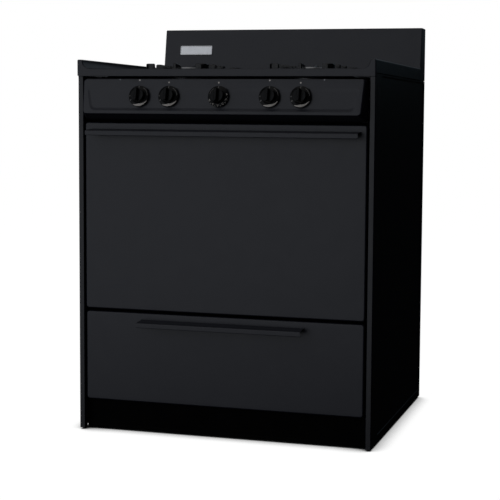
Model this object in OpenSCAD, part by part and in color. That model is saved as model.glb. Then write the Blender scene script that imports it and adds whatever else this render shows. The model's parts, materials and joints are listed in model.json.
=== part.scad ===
// Freestanding gas range with four open burners, an oven, a broiler drawer and a backguard.
// Millimetres, +Z up, front towards -Y, origin on the floor under the middle of its bounding box.
// Every module is drawn with Y = 0 at the front plane of the side panels, and place() centres it.

/* [Overall size] */
// Width across the cooktop
top_w = 762; // [750:2:780]
// Depth from the front plane of the side panels to the back
body_d = 640; // [620:1:660]
// Height of the raised side rims of the cooktop
rim_h = 936; // [930:1:945]
// Height of the top of the backguard
total_h = 1049; // [1020:1:1080]
// Thickness of the body's sheet steel
sheet = 1.2; // [0.8:0.1:1.6]

/* [Cooktop] */
// Height of the front rim between the side rims
front_rim_h = 913.5; // [910:0.5:918]
// Height of the bottom edge of the front apron
apron_bottom = 894; // [890:1:898]
// Distance that the apron stands in front of the side panels
apron_out = 4; // [2:0.5:6]
// Height of the surface under the grates
well_h = 898; // [895:1:902]
// Width of the flat on top of each side rim
rim_flat = 14; // [10:1:18]
// Distance of the burner centres from the middle
burner_x = 165; // [155:1:175]
// Distance of the front burners behind the front plane
burner_front = 190; // [180:1:200]
// Distance of the rear burners behind the front plane
burner_rear = 450; // [440:1:460]
// Side of each square grate
grate_side = 166; // [160:1:180]
// Height of the highest points of the grates
grate_h = 932; // [930:1:935]

/* [Backguard] */
// Depth of the backguard at its foot
guard_foot = 67; // [62:1:72]
// Depth of the backguard at its top
guard_top = 49; // [44:1:54]
// Width of the badge plate
badge_w = 98; // [80:1:110]
// Height of the badge plate
badge_h = 27; // [20:1:32]

/* [Control panel] */
// Height of the panel's top edge
panel_top = 889; // [886:1:891]
// Height of the lower edge of the panel's face
panel_low = 802; // [798:1:806]
// Distance that the face's top edge stands out
panel_step = 14; // [10:1:18]
// Distance that the lower edge of the face stands out beyond its top edge
panel_out = 20; // [14:1:24]
// Height of the knob axes on the face of the panel
knob_row = 845; // [841:1:849]
// Distances of the knobs from the middle
knob_x = [-205, -128, 0, 128, 205]; // [-320:1:320]
// Diameter of a knob's skirt
knob_d = 52; // [46:1:54]

/* [Oven door] */
// Width of the door
door_w = 722; // [716:1:726]
// Height of the door's bottom edge
door_low = 313.5; // [311:0.5:316]
// Height of the door's top edge
door_top = 780.5; // [778:0.5:783]
// Length of the door handle
door_handle_w = 692; // [640:1:700]
// Distance that both handles stand out
handle_out = 35; // [30:1:38]

/* [Broiler drawer] */
// Width of the drawer front
drawer_w = 720; // [716:1:726]
// Height of the drawer's bottom edge
drawer_low = 80.5; // [78:0.5:84]
// Height of the drawer's top edge
drawer_top = 306; // [303:0.5:307]
// Length of the drawer handle
drawer_handle_w = 422; // [380:1:460]

/* [Oven] */
// Half the width of the oven cavity
oven_x = 300; // [290:1:305]
// Height of the oven floor
oven_low = 350; // [348:1:354]
// Height of the oven roof
oven_top = 746; // [740:1:748]
// Distance of the oven's back wall behind the front plane
oven_back = 520; // [510:1:525]

/* [Hidden] */

// Half widths of the body and the cooktop
top_x = top_w / 2;
body_x = top_x - 1;
// Gap that keeps neighbouring walls of one folded box separate
seam = 0.2;

// Side panels
side_low = 4;
side_high = 902;
flange_w = 14;
jamb_x = body_x - flange_w;
field_y0 = 66;
field_y1 = body_d - 20;
field_z0 = 24;
field_z1 = 884;
field_depth = 2;

// Control panel: the face leans back by this angle
panel_lean = atan(panel_out / (panel_top - panel_low));
panel_x = 361;
panel_return_z = 787;
panel_sheet = 1.5;
// Run of the panel's slanted ends, out from the front plane and in towards the middle
end_run = 40;
end_slant = 10;
knob_y = -panel_step - (panel_top - knob_row) * tan(panel_lean);

// Knobs and stems, measured out along the panel's normal
knob_gap = 3.6;
knob_reach = 26;
grip_half = 17;
stem_r = 3;
push = 3;
knob_names = ["left_front", "left_rear", "oven", "right_rear", "right_front"];
// Foremost point of the part: the lower end of a knob's grip
front_reach = -knob_y + (knob_gap + knob_reach) * cos(panel_lean) + grip_half * sin(panel_lean);
shift_y = (front_reach - body_d) / 2;

// Backguard
guard_y = body_d - guard_foot;
guard_base = 903;
guard_lean = atan((guard_foot - guard_top) / (total_h - rim_h));
badge_left = 48;
badge_drop = 46;

// Cooktop
top_sheet = 1.4;
rim_run = 21;
ledge_x = top_x - 46;
well_x = top_x - 58;
well_front = 24;
pan_back = guard_y - 1;
well_back = pan_back - 26;
burner_hole = 46;
burners = [for (x = [-burner_x, burner_x], y = [burner_front, burner_rear]) [x, y]];

// Front frame, oven and broiler
frame_y = 30;
frame_x = 338;
broiler_x = 336.5;
broiler_high = 300;
broiler_back = 540;
blanket = 26;

// Door
door_deep = 22;
hinge_y = 10;
hinge_z = 322;
hinge_x = 346;
pin_r = 4;
lip_top = 20;
lip_low = 31.5;
handle_sheet = 1.5;

// Drawer
drawer_deep = 18;
tray_x = 306;
tray_low = 100;
tray_high = 182;
tray_back = 505;
rail_x = 334;
rail_z = 120;
rail_tall = 22;

// Racks
rack_half = 293;
rack_front = 96;
rack_rear = 505;
rack_heights = [430, 560];

// Gas parts behind the panel
manifold_back = 76;
manifold_y = knob_y + manifold_back * cos(panel_lean);
manifold_z = knob_row - manifold_back * sin(panel_lean);
manifold_r = 10.6;
supply_x = 352;
gas_y = 600;
gas_z = 90;
tube_y = 69;
tube_z = 860;
head_low = 868;
cap_low = 915;

// Centres the object over the origin
module place() {
    translate([0, shift_y, 0]) children();
}

// Box given by its low and high corners
module span(low, high) {
    translate(low) cube(high - low);
}

// Straight rod between two points
module rod(a, b, r) {
    run = b - a;
    translate(a)
        rotate([0, acos(run[2] / norm(run)), atan2(run[1], run[0])])
            cylinder(h = norm(run), r = r, $fn = 32);
}

// Outline extruded along X: its first coordinate is Y and its second is Z
module along_x(x0, x1) {
    translate([x0, 0, 0]) rotate([90, 0, 90]) linear_extrude(x1 - x0) children();
}

// Outline extruded along Y: its first coordinate is X and its second is Z
module along_y(y0, y1) {
    translate([0, y1, 0]) rotate([90, 0, 0]) linear_extrude(y1 - y0) children();
}

// Rectangle with round corners
module round_rect(x0, x1, y0, y1, r) {
    translate([x0 + r, y0]) square([x1 - x0 - 2 * r, y1 - y0]);
    translate([x0, y0 + r]) square([x1 - x0, y1 - y0 - 2 * r]);
    for (x = [x0 + r, x1 - r], y = [y0 + r, y1 - r])
        translate([x, y]) circle(r, $fn = 32);
}

// Folded pan open towards the back: a round-cornered front with returns
module pan(half_w, z0, z1, r, deep, t) {
    difference() {
        along_y(0, deep) round_rect(-half_w, half_w, z0, z1, r);
        along_y(t, deep + 1) round_rect(-half_w + t, half_w - t, z0 + t, z1 - t, r - t);
    }
}

// Separate flat walls of a box; faces names the walls to draw
module walls(low, high, t, faces) {
    in_low = low + [t + seam, t + seam, 0];
    in_high = high - [t + seam, t + seam, 0];
    for (f = faces) {
        if (f == "left") span(low, [low[0] + t, high[1], high[2]]);
        if (f == "right") span([high[0] - t, low[1], low[2]], high);
        if (f == "front") span([in_low[0], low[1], low[2]], [in_high[0], low[1] + t, high[2]]);
        if (f == "back") span([in_low[0], high[1] - t, low[2]], [in_high[0], high[1], high[2]]);
        if (f == "bottom") span([in_low[0], in_low[1], low[2]], [in_high[0], in_high[1], low[2] + t]);
        if (f == "top") span([in_low[0], in_low[1], high[2] - t], [in_high[0], in_high[1], high[2]]);
    }
}

// Places children on the control panel's face: X along it, Y up it, Z out of it
module on_panel(x) {
    translate([x, knob_y, knob_row]) rotate([90 - panel_lean, 0, 0]) children();
}

// Draws children twice, as they are and mirrored to the other side
module both_sides() {
    children();
    mirror([1, 0, 0]) children();
}

// ---- Cabinet ----

// Right-hand side panel: sheet with a pressed-in field, a front flange and top and rear flanges
module side_panel() {
    color([0.05, 0.055, 0.06]) {
        difference() {
            span([body_x - sheet, 0, side_low], [body_x, body_d - sheet - seam, side_high]);
            span([body_x - 2 * sheet, field_y0, field_z0], [body_x + 1, field_y1, field_z1]);
        }
        difference() {
            span([body_x - sheet - field_depth, field_y0 - sheet, field_z0 - sheet],
                 [body_x - sheet, field_y1 + sheet, field_z1 + sheet]);
            span([body_x - 2 - sheet, field_y0, field_z0], [body_x + 1, field_y1, field_z1]);
        }
        span([body_x - sheet - field_depth, field_y0 - sheet, field_z0 - sheet],
             [body_x - field_depth, field_y1 + sheet, field_z1 + sheet]);
        span([jamb_x, 0, side_low], [body_x, sheet, apron_bottom]);
        span([jamb_x, 0, side_low], [jamb_x + sheet, 16, apron_bottom - 6]);
        span([body_x - 14, 2, side_high - sheet], [body_x, body_d - 2, side_high]);
    }
}

module side_panel_left() {
    place() mirror([1, 0, 0]) side_panel();
}

module side_panel_right() {
    place() side_panel();
}

module back_panel() {
    notch_x = 300;
    notch_z = [40, 140];
    place() color([0.45, 0.46, 0.47]) difference() {
        span([-body_x + 2, body_d - sheet, 12], [body_x - 2, body_d, 902]);
        span([notch_x, body_d - 3, notch_z[0]], [body_x, body_d + 1, notch_z[1]]);
        for (x = [-280:40:280], z = [640, 680])
            translate([x, 0, 0]) span([-12, body_d - 3, z], [12, body_d + 1, z + 5]);
    }
}

module base_frame() {
    place() color([0.4, 0.41, 0.42]) {
        both_sides() span([318, 24, 10], [body_x - 3.6, body_d - 4, 13]);
        both_sides() span([body_x - 6.6, 24, 13 + seam], [body_x - 3.6, body_d - 4, 40]);
        for (y = [24, body_d - 44])
            span([-318 + seam, y, 10], [318 - seam, y + 40, 13]);
    }
}

module base_pan() {
    place() color([0.5, 0.51, 0.52])
        span([-372, 26, 40.2], [372, body_d - 6, 41.4]);
}

module toe_kick() {
    outline = [[21.2, 8], [21.2, 78.8], [29, 78.8], [29, 80], [20, 80], [20, 13], [17, 8]];
    place() color([0.02, 0.02, 0.02]) along_x(-jamb_x + 0.5, jamb_x - 0.5) polygon(outline);
}

module front_frame() {
    y0 = frame_y;
    y1 = frame_y + sheet;
    place() color([0.08, 0.08, 0.09]) {
        both_sides() difference() {
            span([frame_x, y0, 41.6], [jamb_x + 10, y1, 786]);
            span([hinge_x - 3, y0 - 1, hinge_z - 8], [hinge_x + 9, y1 + 1, hinge_z + 8]);
        }
        span([-frame_x + seam, y0, oven_top + 2], [frame_x - seam, y1, 786]);
        span([-frame_x + seam, y0, broiler_high + 2], [frame_x - seam, y1, oven_low - 3]);
        both_sides() span([oven_x + 3, y0, oven_low - 3 + seam], [frame_x - seam, y1, oven_top + 2 - seam]);
    }
}

module leveling_legs() {
    foot = [[0, 0], [14, 0], [15, 1], [19, 6.4], [19, 7.6], [4, 7.6], [4, 9.8], [0, 9.8]];
    place() color([0.03, 0.03, 0.03])
        for (x = [-340, 340], y = [46, body_d - 46])
            translate([x, y, 0]) rotate_extrude($fn = 48) polygon(foot);
}

// ---- Backguard ----

module guard_outline(t) {
    polygon([
        [guard_y + t, guard_base - (t > 0 ? 1 : 0)],
        [guard_y + t, rim_h],
        [body_d - guard_top + t, total_h - t],
        [body_d - t, total_h - t],
        [body_d - t, guard_base - (t > 0 ? 1 : 0)]
    ]);
}

module backguard() {
    place() color([0.1, 0.1, 0.11]) difference() {
        along_x(-body_x, body_x) guard_outline(0);
        along_x(-body_x + sheet, body_x - sheet) guard_outline(sheet);
    }
}

// The plate lies on the leaning face of the backguard
module backguard_badge() {
    drop = badge_drop / cos(guard_lean);
    thick = 2.2;
    place() color([0.75, 0.75, 0.75])
        translate([-body_x + badge_left, body_d - guard_top, total_h])
            rotate([90 - guard_lean, 0, 0]) linear_extrude(thick)
                round_rect(0, badge_w, -drop - badge_h, -drop, 3);
}

// ---- Control panel and knobs ----

module panel_outline(t) {
    polygon([
        [12 + t, panel_top - t],
        [t - panel_step, panel_top - t],
        [-panel_step - panel_out + 1.05 * t, panel_low + 0.4 * t],
        [0, panel_return_z + t],
        [12 + t, panel_return_z + t]
    ]);
}

// Shallow field pressed into the panel's face, with slanted ends
module panel_field() {
    up = (panel_top - knob_row) / cos(panel_lean) - 28;
    down = -(knob_row - panel_low) / cos(panel_lean) + 11;
    depth = 1;
    on_panel(0) translate([0, 0, -depth]) linear_extrude(depth + 5)
        polygon([[-343, up], [-335, down + 4], [-330, down], [330, down], [335, down + 4], [343, up]]);
}

// The panel seen from above: its ends slant inwards towards the front
module panel_plan(t) {
    half = panel_x - t;
    translate([0, 0, panel_return_z - 1]) linear_extrude(panel_top - panel_return_z + 2)
        polygon([[-half, 20], [-half, 0], [end_slant - half, -end_run], [half - end_slant, -end_run],
                 [half, 0], [half, 20]]);
}

module panel_body(t) {
    intersection() {
        along_x(t - panel_x, panel_x - t) panel_outline(t);
        panel_plan(t);
    }
}

module control_panel() {
    hole_r = 7;
    place() color([0.1, 0.1, 0.11]) difference() {
        intersection() {
            difference() {
                panel_body(0);
                panel_body(panel_sheet);
            }
            along_y(-50, 50) round_rect(-panel_x, panel_x, panel_return_z, panel_top, 8);
        }
        panel_field();
        for (x = knob_x)
            on_panel(x) translate([0, 0, -10]) cylinder(h = 20, r = hole_r, $fn = 32);
    }
}

module panel_screws() {
    up = (panel_top - knob_row) / cos(panel_lean) - 3.2;
    head = [[0, 0], [2, 0], [2, 0.5], [1.2, 1], [0, 1.1]];
    place() color([0.1, 0.1, 0.1])
        for (x = [-260, 260])
            on_panel(x) translate([0, up, 0]) rotate_extrude($fn = 32) polygon(head);
}

// Knob: sloped skirt, round boss and a grip bar across it, bored for the stem
module knob(i) {
    skirt = knob_d / 2;
    z = knob_gap;
    outline = [
        [0, z], [skirt, z], [skirt, z + 2], [skirt - 7, z + 5], [grip_half + 0.5, z + 6],
        [grip_half, z + 14], [grip_half - 1, z + 15], [0, z + 15]
    ];
    place() color([0.05, 0.05, 0.05]) on_panel(knob_x[i]) difference() {
        union() {
            rotate_extrude($fn = 64) polygon(outline);
            intersection() {
                span([-4.5, -grip_half, z + 4], [4.5, grip_half, z + knob_reach]);
                cylinder(h = 60, r = grip_half, $fn = 64);
            }
        }
        translate([0, 0, z - 1]) cylinder(h = 14, r = stem_r + 0.05, $fn = 32);
    }
}

// Valve stem that the knob turns on and that slides into its valve
module stem(i) {
    place() color([0.75, 0.62, 0.35])
        on_panel(knob_x[i]) translate([0, 0, -36]) cylinder(h = 36 + knob_gap + 12.5, r = stem_r, $fn = 32);
}

// Body of one tap, in the panel's own directions, bored for its stem
module tap(r) {
    difference() {
        union() {
            translate([0, 0, -manifold_back + manifold_r + 0.2])
                cylinder(h = manifold_back - 24, r = r, $fn = 32);
            translate([0, 0, -14]) cylinder(h = 6, r = r - 4, $fn = 32);
        }
        translate([0, 0, -36 - push - 1]) cylinder(h = 60, r = stem_r + 0.05, $fn = 32);
    }
}

module burner_valves() {
    place() color([0.75, 0.62, 0.35])
        for (i = [0, 1, 3, 4]) {
            on_panel(knob_x[i]) tap(11);
            rod([knob_x[i], 26, 842], [knob_x[i], tube_y - 3, tube_z - 2], 5);
        }
}

// Oven control body with its capillary and the sensing bulb in the oven
module oven_thermostat() {
    bulb_x = -288;
    bulb_z = oven_top - 22;
    place() color([0.7, 0.6, 0.4]) {
        on_panel(0) difference() {
            union() {
                span([-24, -20, -manifold_back + manifold_r + 0.2], [24, 18, -16]);
                translate([0, 0, -16]) cylinder(h = 8, r = 10, $fn = 32);
            }
            translate([0, 0, -36 - push - 1]) cylinder(h = 60, r = stem_r + 0.05, $fn = 32);
        }
        rod([bulb_x, 120, bulb_z], [bulb_x, 300, bulb_z], 3.5);
    }
}

// ---- Gas train ----

module gas_manifold() {
    place() color([0.3, 0.3, 0.3])
        rod([-240, manifold_y, manifold_z], [supply_x - 12, manifold_y, manifold_z], manifold_r);
}

module gas_supply_pipe() {
    low = [supply_x, gas_y, gas_z + 26];
    corner = [supply_x, gas_y, manifold_z];
    front = [supply_x, manifold_y, manifold_z];
    place() color([0.35, 0.35, 0.35]) {
        rod(low, corner, 8);
        rod(corner, front, 8);
        translate(corner) sphere(11, $fn = 32);
        translate(front) sphere(12, $fn = 32);
    }
}

module pressure_regulator() {
    place() color([0.7, 0.7, 0.72]) difference() {
        union() {
            translate([supply_x, gas_y, gas_z - 14]) cylinder(h = 40, r = 16, $fn = 48);
            translate([supply_x - 0.1, gas_y - 40, gas_z]) rotate([-90, 0, 0])
                cylinder(h = 73, r = 15, $fn = 48);
            translate([supply_x, gas_y - 52, gas_z]) rotate([-90, 0, 0]) cylinder(h = 14, r = 23, $fn = 48);
        }
        translate([supply_x - 0.1, gas_y + 13, gas_z]) rotate([-90, 0, 0])
            cylinder(h = 30, r = 10.5, $fn = 48);
    }
}

// Steel mixing tubes from the taps to the burner heads
module burner_tubes() {
    r = 10;
    bend_y = 330;
    place() color([0.6, 0.6, 0.62]) both_sides() {
        difference() {
            union() {
                rod([knob_x[4], tube_y, tube_z], [burner_x, burner_front, tube_z + 16], r);
                rod([knob_x[3], tube_y, tube_z], [knob_x[3] - 6, bend_y, tube_z + 6], r);
                translate([knob_x[3] - 6, bend_y, tube_z + 6]) sphere(r + 2, $fn = 32);
                rod([knob_x[3] - 6, bend_y, tube_z + 6], [burner_x, burner_rear, tube_z + 16], r);
            }
            for (y = [burner_front, burner_rear])
                translate([burner_x, y, head_low - 40]) cylinder(h = 80, r = 38.2, $fn = 64);
        }
    }
}

module burner_heads() {
    outline = [[0, 846.8], [9, 846.8], [9, head_low], [30, head_low], [38, 880], [38, 902], [32, 905],
               [32, cap_low], [0, cap_low]];
    place() color([0.75, 0.75, 0.77])
        for (p = burners)
            translate([p[0], p[1], 0]) rotate_extrude($fn = 64) polygon(outline);
}

module burner_caps() {
    outline = [[0, cap_low], [34, cap_low], [36, cap_low + 2], [36, cap_low + 6], [33, cap_low + 8.5],
               [18, cap_low + 10], [0, cap_low + 10.5]];
    place() color([0.75, 0.75, 0.77])
        for (p = burners)
            translate([p[0], p[1], 0]) rotate_extrude($fn = 64) polygon(outline);
}

// Flash tubes that carry the flame from the standing pilots to the heads
module pilot_tubes() {
    z = 888;
    middle = (burner_front + burner_rear) / 2;
    place() color([0.7, 0.7, 0.72]) both_sides() {
        rod([burner_x, burner_front + 38.5, z], [burner_x, burner_rear - 38.5, z], 6);
        translate([burner_x, middle, z - 20]) cylinder(h = 18, r = 4, $fn = 32);
    }
}

// Bars under the burners and ledges under the cooktop
module top_rails() {
    place() color([0.45, 0.46, 0.47]) {
        for (y = [burner_front, burner_rear])
            span([-body_x + 3.6, y - 10, 843.6], [body_x - 3.6, y + 10, 846.6]);
        both_sides() span([318, 40, 894.6], [body_x - 3.6, guard_y - 20, 896.2]);
    }
}

// ---- Oven ----

module oven_liner() {
    low = [-oven_x - sheet, frame_y + sheet + seam, oven_low - 4];
    high = [oven_x + sheet, oven_back + sheet, oven_top + sheet];
    flue_half = 70;
    place() color([0.12, 0.12, 0.15]) {
        walls(low, high, sheet, ["left", "right", "top"]);
        difference() {
            walls(low, high, sheet, ["back"]);
            span([-flue_half, oven_back - 5, 702], [flue_half, oven_back + 5, 728]);
        }
        both_sides() for (z = concat(rack_heights, 495))
            span([oven_x - 9, 60, z - 8], [oven_x + 0.2, oven_back - 8, z - 3.4]);
        both_sides() span([oven_x - 14, 50, oven_low - 4], [oven_x - seam, oven_back - 4, oven_low - 2.6]);
    }
}

// Lift-out floor with a row of slots on each side
module oven_bottom() {
    place() color([0.12, 0.12, 0.15]) difference() {
        span([-oven_x + 1, 44, oven_low - 2.2], [oven_x - 1, oven_back - 2, oven_low - 1]);
        both_sides() for (y = [90:60:450])
            span([258, y, oven_low - 5], [264, y + 40, oven_low + 5]);
    }
}

// Mineral wool round the oven, with a gap for the flue
module oven_insulation() {
    inner = 2 * sheet;
    low = [-oven_x - inner - blanket, frame_y + 8, oven_low - 4];
    high = [oven_x + inner + blanket, oven_back + inner + blanket, oven_top + inner + blanket];
    place() color([0.85, 0.8, 0.55]) difference() {
        walls(low, high, blanket, ["left", "right", "back", "top"]);
        span([-76, oven_back - 20, 696], [76, oven_back + 60, 734]);
    }
}

// Duct from the back of the oven up into the backguard
module oven_flue() {
    y0 = oven_back + sheet + seam;
    shape = [[y0, 700], [gas_y + 30, 700], [gas_y + 30, 985], [gas_y - 6, 985], [gas_y - 6, 730], [y0, 730]];
    hollow = [[y0 - 1, 701.2], [gas_y + 28.8, 701.2], [gas_y + 28.8, 986], [gas_y - 4.8, 986],
              [gas_y - 4.8, 728.8], [y0 - 1, 728.8]];
    place() color([0.5, 0.5, 0.52]) difference() {
        along_x(-73, 73) polygon(shape);
        along_x(-71.8, 71.8) polygon(hollow);
    }
}

module oven_burner() {
    z = 322;
    place() color([0.4, 0.4, 0.42]) difference() {
        union() {
            rod([0, 70, z], [0, 480, z], 15);
            rod([0, 46, z], [0, 70, z], 20);
        }
        rod([0, 40, z], [0, 470, z], 12);
        for (y = [110:30:450])
            both_sides() rod([0, y, z], [30, y, z + 6], 2);
    }
}

module flame_spreader() {
    outline = [[-120, 336], [-90, 341], [90, 341], [120, 336], [120, 337.2], [90, 342.2], [-90, 342.2],
               [-120, 337.2]];
    place() color([0.45, 0.45, 0.46]) along_y(70, 490) polygon(outline);
}

module oven_gasket() {
    wide = 8;
    place() color([0.75, 0.75, 0.72]) difference() {
        along_y(24.4, frame_y) round_rect(-oven_x - 16, oven_x + 16, oven_low - 16, oven_top + 16, 12);
        along_y(20, frame_y + 5)
            round_rect(-oven_x - 16 + wide, oven_x + 16 - wide,
                       oven_low - 16 + wide, oven_top + 16 - wide, 6);
    }
}

// Ears fixed to the stiles, each with the pin that the door turns on
module hinge_brackets() {
    place() color([0.5, 0.5, 0.52]) both_sides() {
        difference() {
            union() {
                rod([hinge_x, hinge_y, hinge_z], [hinge_x + 3, hinge_y, hinge_z], 6);
                span([hinge_x, hinge_y, hinge_z - 6], [hinge_x + 3, 70, hinge_z + 6]);
            }
            rod([hinge_x - 1, 56, hinge_z], [hinge_x + 4, 56, hinge_z], 2);
        }
        rod([hinge_x, hinge_y, hinge_z], [hinge_x + 9.5, hinge_y, hinge_z], pin_r);
    }
}

// ---- Broiler compartment ----

module broiler_liner() {
    low = [-broiler_x, frame_y + sheet + seam, 86];
    high = [broiler_x, broiler_back, broiler_high];
    place() color([0.4, 0.41, 0.42]) {
        walls(low, high, sheet, ["left", "right", "back", "bottom"]);
    }
}

// Channels that the drawer's glides run in
module drawer_rails() {
    outline = [
        [rail_x, rail_z], [rail_x, rail_z + rail_tall], [rail_x - 13, rail_z + rail_tall],
        [rail_x - 13, rail_z + rail_tall - 1.5], [rail_x - 1.5, rail_z + rail_tall - 1.5],
        [rail_x - 1.5, rail_z + 1.5], [rail_x - 13, rail_z + 1.5], [rail_x - 13, rail_z]
    ];
    place() color([0.6, 0.6, 0.62])
        both_sides() along_y(frame_y + 4, broiler_back - 20) polygon(outline);
}

// ---- Cooktop ----

// Hollow quarter-ellipse from a rim's flat, u = 0, down to the ledge, u = 1
function dish(u) = rim_h - (rim_h - front_rim_h) * sqrt(1 - (1 - u) * (1 - u));
function dish_points(t) = [
    for (i = [0:10]) let (u = i / 10) [top_x - rim_flat - u * rim_run, dish(u) - t]
];

// Outer part of the right side rim: skirt, flat top and hollow inner face down to the ledge
module rim_section(t) {
    polygon(concat(
        [[top_x - t, 800], [top_x - t, rim_h - t - 2.5], [top_x - t - 0.8, rim_h - t - 0.8],
         [top_x - t - 2.5, rim_h - t]],
        dish_points(t),
        [[ledge_x, front_rim_h - t], [ledge_x, 800]]
    ));
}

// Slope from the ledge down to the well, where x is the distance outwards from the well's edge
module well_slope(t) {
    polygon([[-3, well_h - t], [0, well_h - t], [3, well_h + 2 - t], [8, front_rim_h - 2 - t],
             [12, front_rim_h - t], [13, front_rim_h - t], [13, 800], [-3, 800]]);
}

module side_rim() {
    difference() {
        along_y(-apron_out, pan_back) rim_section(0);
        along_y(-apron_out - 1, pan_back + 1) rim_section(top_sheet);
        span([0, -10, 790], [top_x - top_sheet, body_d, well_h - top_sheet]);
        span([top_x - 10, -10, 790], [top_x + 10, body_d, 904]);
    }
    difference() {
        along_y(well_front - 13, well_back + 13) translate([well_x, 0]) well_slope(0);
        along_y(-10, body_d) translate([well_x, 0]) well_slope(top_sheet);
        span([0, -10, 790], [top_x, body_d, well_h - top_sheet]);
    }
}

// Front apron: full height at the ends, dropping in a curve to the front rim
module apron_outline() {
    dip = dish_points(0);
    polygon(concat(
        [[-top_x, apron_bottom], [top_x, apron_bottom], [top_x, rim_h - 2.5], [top_x - 2.5, rim_h]],
        dip,
        [for (i = [10:-1:0]) [-dip[i][0], dip[i][1]]],
        [[-top_x + 2.5, rim_h], [-top_x, rim_h - 2.5]]
    ));
}

// Front rim in section: rounded over behind the apron, flat, then down to the well
module front_rim(t) {
    polygon([
        [-apron_out + t, 800], [-apron_out + t, front_rim_h - 4],
        [-apron_out + 1.2 + t, front_rim_h - 1.2], [-apron_out + 4, front_rim_h - t],
        [well_front - 12, front_rim_h - t], [well_front - 8, front_rim_h - 2 - t],
        [well_front - 3, well_h + 2 - t], [well_front, well_h - t], [well_front + 3, well_h - t],
        [well_front + 3, 800]
    ]);
}

module cooktop() {
    floor_low = well_h - top_sheet;
    place() color([0.1, 0.1, 0.11]) {
        both_sides() side_rim();
        along_y(-apron_out, -apron_out + top_sheet) difference() {
            apron_outline();
            translate([-ledge_x, front_rim_h - 4]) square([2 * ledge_x, 40]);
        }
        difference() {
            along_x(-ledge_x - 6, ledge_x + 6) front_rim(0);
            along_x(-top_x, top_x) front_rim(top_sheet);
            span([-top_x, -50, 790], [top_x, well_front + 10, floor_low]);
        }
        difference() {
            along_x(-ledge_x - 6, ledge_x + 6) translate([well_back, 0]) well_slope(0);
            along_x(-top_x, top_x) translate([well_back, 0]) well_slope(top_sheet);
            span([-top_x, well_back - 10, 790], [top_x, body_d, floor_low]);
        }
        span([-ledge_x - 6, well_back + 12, front_rim_h - top_sheet], [ledge_x + 6, pan_back, front_rim_h]);
        span([-jamb_x + 4, pan_back - top_sheet, floor_low], [jamb_x - 4, pan_back, front_rim_h]);
        difference() {
            span([-well_x - 2, well_front, floor_low], [well_x + 2, well_back + 2, well_h]);
            for (p = burners)
                translate([p[0], p[1], 800]) cylinder(h = 200, r = burner_hole, $fn = 64);
        }
        for (p = burners)
            translate([p[0], p[1], floor_low]) difference() {
                cylinder(h = 6, r = burner_hole + top_sheet, $fn = 64);
                translate([0, 0, -1]) cylinder(h = 20, r = burner_hole, $fn = 64);
            }
    }
}

// ---- Grates ----

// Low square ring with raised corners, four legs and a finger inwards from each side
module grate(x, y) {
    half = grate_side / 2;
    bar = 9;
    ring_low = 909;
    ring_top = 918;
    corner = 27;
    inner_reach = 41;
    dip = 5;
    leg = half - 9;
    finger = [
        [inner_reach, ring_low + 2], [half - bar, ring_low], [half - 0.2, ring_low],
        [half - 0.2, grate_h - 1.5], [half - 2, grate_h], [half - 12, grate_h], [inner_reach, grate_h - dip]
    ];
    place() translate([x, y, 0]) color([0.04, 0.04, 0.04]) {
        translate([0, 0, ring_low]) linear_extrude(ring_top - ring_low) ring(half, bar);
        translate([0, 0, ring_top - 1]) linear_extrude(grate_h - ring_top) intersection() {
            ring(half, bar);
            for (u = [-half, half - corner], v = [-half, half - corner])
                translate([u, v]) square(corner);
        }
        for (a = [0:90:270])
            rotate([0, 0, a]) {
                rotate([90, 0, 0]) translate([0, 0, -4.5]) linear_extrude(9) polygon(finger);
                translate([leg, leg, well_h + 0.4]) cylinder(h = ring_top - well_h - 2, r = 5, $fn = 24);
            }
    }
}

// Square ring with round corners
module ring(half, bar) {
    difference() {
        round_rect(-half, half, -half, half, 16);
        round_rect(bar - half, half - bar, bar - half, half - bar, 8);
    }
}

// ---- Oven door ----

// Room at each lower corner for the fixed hinge bracket as the door turns
module hinge_room() {
    both_sides() span([hinge_x - 2.5, 3, door_low - 2], [hinge_x + 10.5, 30, hinge_z + 8]);
}

module door_outer_panel() {
    place() color([0.12, 0.125, 0.135]) difference() {
        pan(door_w / 2, door_low, door_top, 6.5, door_deep, sheet);
        hinge_room();
    }
}

// Inner panel: flat flange with a shallow plug that enters the oven mouth
module door_inner_panel() {
    y0 = door_deep + seam;
    y1 = y0 + sheet;
    plug = 35;
    place() color([0.12, 0.12, 0.15]) difference() {
        union() {
            along_y(y0, y1) round_rect(-door_w / 2 + 1, door_w / 2 - 1, door_low + 1, door_top - 1, 5.5);
            along_y(y0, plug) round_rect(-oven_x + 8, oven_x - 8, oven_low + 6, oven_top - 6, 14);
        }
        along_y(y0 - 1, plug - sheet)
            round_rect(-oven_x + 8 + sheet, oven_x - 8 - sheet,
                       oven_low + 6 + sheet, oven_top - 6 - sheet, 13);
        hinge_room();
    }
}

module door_insulation() {
    place() color([0.85, 0.8, 0.55])
        span([-door_w / 2 + 16, sheet + 0.3, 336], [door_w / 2 - 16, door_deep - 0.3, door_top - 4]);
}

// Folded ledge: sloped top, lip and a small hem, drawn below a top edge at height z
module ledge(half_w, z) {
    slope_top = z - 16 + handle_sheet / 2;
    out = -handle_out;
    t = handle_sheet;
    color([0.12, 0.125, 0.135]) along_x(-half_w, half_w) polygon([
        [0, slope_top], [out + 0.8, z - lip_top], [out, z - lip_top - 0.8], [out, z - lip_low],
        [out + 5, z - lip_low], [out + 5, z - lip_low + t], [out + t, z - lip_low + t],
        [out + t, z - lip_top - t], [0, slope_top - t]
    ]);
}

module door_handle() {
    place() ledge(door_handle_w / 2, door_top);
}

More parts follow.
